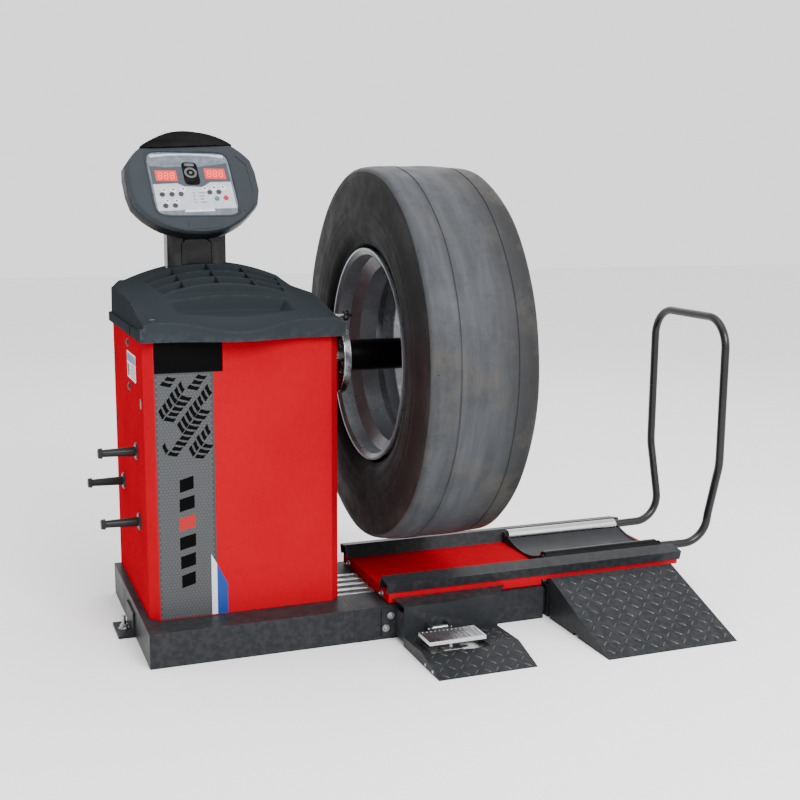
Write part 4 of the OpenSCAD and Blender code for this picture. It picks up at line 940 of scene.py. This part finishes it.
# ---------------------------------------------------------------- tread plate studs
def studs(name, origin, u, v, nrm, wu, wv, pitch, body, length=12.5, width=3.0, height=1.9, inside=None):
    """Crossed lens-shaped studs on a plate."""
    bm = bmesh.new()
    u, v, nrm = Vector(u).normalized(), Vector(v).normalized(), Vector(nrm).normalized()
    for i in range(int(wu / pitch)):
        for j in range(int(wv / pitch)):
            a, b = (i + 0.5) * pitch + (wu % pitch) / 2, (j + 0.5) * pitch + (wv % pitch) / 2
            if inside and not inside(a, b):
                continue
            t = math.radians(45 if (i + j) % 2 else -45)
            low, top = [], []
            for k in range(10):
                q = 2 * math.pi * k / 10
                px = length * math.cos(q)
                py = width * math.sin(q) * (1 - 0.35 * abs(math.cos(q)))
                for ring_, s, h in ((low, 1.0, 0.0), (top, 0.72, height)):
                    x, y = px * s, py * s
                    d = ((a + x * math.cos(t) - y * math.sin(t)) * u
                         + (b + x * math.sin(t) + y * math.cos(t)) * v)
                    ring_.append(bm.verts.new(Vector(origin) + (d + nrm * h) * MM))
            grid_faces(bm, [low, top], closed=True)
            bm.faces.new(top)
    bmesh.ops.recalc_face_normals(bm, faces=bm.faces)
    return piece(name, bm, ["stud"], body, smooth=60)


slope = Vector((0, 338, 122))
studs("ramp_studs", (0.567, -0.560, 0.0), (1, 0, 0), slope, slope.cross(Vector((-1, 0, 0))), 403, 357, 33,
      "machine")
lip = Vector((0, 115, 32))
studs("pedal_studs_front", (0.090, -0.534, 0.0), (1, 0, 0), lip, lip.cross(Vector((-1, 0, 0))), 276, 117,
      29, "machine",
      length=11, width=2.8, height=1.5)
studs("pedal_studs_top", (0.090, -0.419, 0.0315), (1, 0, 0), (0, 133, -5), (0, 0.04, 1), 276, 128, 29,
      "machine",
      length=11, width=2.8, height=1.5, inside=lambda a, b: not (10 < a < 206 and b < 82))

# ---------------------------------------------------------------- handle

def handle_half():
    x0, hx, bend, z0, leg, narrow, wide, corner, top = 985, 1150, 80, 150, 130, 142, 190, 90, 849
    pts = [(x0, leg, z0), (hx - bend - 30, leg + 3, z0)]
    pts += [(hx - bend + bend * math.sin(a), leg + 4 + (narrow - leg - 4) * k / 20,
             z0 + bend * (1 - math.cos(a)))
            for k, a in ((k, math.pi / 2 * k / 20) for k in range(21))]
    pts += [(hx, narrow + 3, 244), (hx, narrow + 8, 262), (hx, wide - 10, 370), (hx, wide - 5, 387),
            (hx, wide - 1.5, 403),
            (hx, wide, 425), (hx, wide, 560)]
    pts += [(hx, wide - corner * (1 - math.cos(a)), top - corner + corner * math.sin(a))
            for a in (math.pi / 2 * k / 16 for k in range(17))]
    return pts


half = handle_half()
full = [(x, -y, z) for x, y, z in half] + [(x, y, z) for x, y, z in reversed(half)]
tube("handle_tube", [Vector(p) * MM for p in full], 0.0125, "black_paint", "trolley",
     ("trolley_handle",), 28)
bm = bmesh.new()
for s in (-1, 1):
    at = Matrix.Translation((0.9872, s * 0.130, 0.150)) @ Matrix.Rotation(math.pi / 2, 4, "Y")
    bmesh.ops.create_cone(bm, cap_ends=True, segments=40, radius1=0.0175, radius2=0.0160,
                          depth=0.004, matrix=at)
piece("handle_collars", bm, ["black_paint"], "trolley")

# ---------------------------------------------------------------- star knob of the gauge
bm = bmesh.new()
GY, GZ = -0.010, 0.879
sections = ((6, 0.62), (7.5, 0.92), (10, 1.0), (17, 1.0), (20.5, 0.92), (22.5, 0.60), (23.5, 0.42),
            (33, 0.36), (34, 0.2))
rings = []
for x, s in sections:
    rr = []
    for k in range(72):
        a = 2 * math.pi * k / 72
        r = (13.2 + 2.2 * math.cos(6 * a) if s > 0.5 else 12) * s
        rr.append(bm.verts.new((x * MM, GY + r * MM * math.sin(a), GZ + r * MM * math.cos(a))))
    rings.append(rr)
grid_faces(bm, rings, closed=True)
bm.faces.new(rings[0])
bm.faces.new(rings[-1])
bmesh.ops.recalc_face_normals(bm, faces=bm.faces)
piece("star_knob", bm, ["black_plastic"], "gauge", ("gauge_knob",))

# ---------------------------------------------------------------- bolts and rivets
bm = bmesh.new()
for x in (60, 74):
    hex_bolt(bm, (x * MM, -0.220, 0.034 if x == 60 else 0.068), (0, -1, 0), 0.012)
for x in (590, 950):
    for zz in (40, 70):
        hex_bolt(bm, (x * MM, 0.214, zz * MM), (0, 1, 0), 0.012)
settle(bm)
piece("base_bolts", bm, ["zinc"], "machine")
bm = bmesh.new()
for y in (-146, 146):
    hex_bolt(bm, (0.075, y * MM, 0.1085), (-1, 0, 0), 0.011, 0.005)
settle(bm)
piece("platform_bolts", bm, ["zinc"], "platform")
bm = bmesh.new()
for k in range(6):
    t = 2 * math.pi * k / 6
    hex_bolt(bm, (-0.0004, -0.075 * math.sin(t), AXIS_Z + 0.075 * math.cos(t)), (1, 0, 0), 0.0085, 0.004)
settle(bm)
piece("flange_bolts", bm, ["zinc"], "spindle")
bm = bmesh.new()
for y in (-490, -440):
    bmesh.ops.create_uvsphere(bm, u_segments=20, v_segments=10, radius=0.005,
                              matrix=Matrix.Translation((0.0880, y * MM, 0.008))
                              @ Matrix.Diagonal((0.4, 1, 1, 1)))
for x in (-555, -50):
    for zz in (130, 460, 790):
        bmesh.ops.create_uvsphere(bm, u_segments=20, v_segments=10, radius=0.005,
                                  matrix=Matrix.Translation((x * MM, 0.429, zz * MM))
                                  @ Matrix.Diagonal((1, 0.4, 1, 1)))
settle(bm)
piece("rivets", bm, ["zinc"], "machine")

# ---------------------------------------------------------------- stage
bm = bmesh.new()
bmesh.ops.create_grid(bm, x_segments=2, y_segments=2, size=14)
mesh = bpy.data.meshes.new("floor")
bm.to_mesh(mesh)
bm.free()
floor = bpy.data.objects.new("floor", mesh)
floor_mat = Mat("floor", (0.90, 0.90, 0.90), 0.85)
floor_mat.roughen(floor_mat.noise(3), 0.05)
mesh.materials.append(floor_mat.m)
bpy.context.scene.collection.objects.link(floor)

world = bpy.data.worlds.new("studio")
world.use_nodes = True
world.node_tree.nodes["Background"].inputs["Color"].default_value = (1.0, 1.0, 1.0, 1)
world.node_tree.nodes["Background"].inputs["Strength"].default_value = 1.6
bpy.context.scene.world = world


def area(name, place, target, size, power):
    light = bpy.data.lights.new(name, "AREA")
    light.size = size
    light.energy = power
    o = bpy.data.objects.new(name, light)
    aim = (Vector(place) - Vector(target)).to_track_quat("Z", "Y")
    o.matrix_world = Matrix.Translation(place) @ aim.to_matrix().to_4x4()
    bpy.context.scene.collection.objects.link(o)


area("key", (0.7, -4.4, 3.3), (0, 0, 0.6), 2.0, 330)
area("fill", (3.4, -2.2, 2.4), (0.2, 0, 0.5), 3.0, 40)
area("top", (0.4, -0.6, 4.2), (0, 0, 0.4), 3.0, 70)
area("rear", (1.6, 4.0, 3.0), (0, 0, 0.6), 3.0, 25)
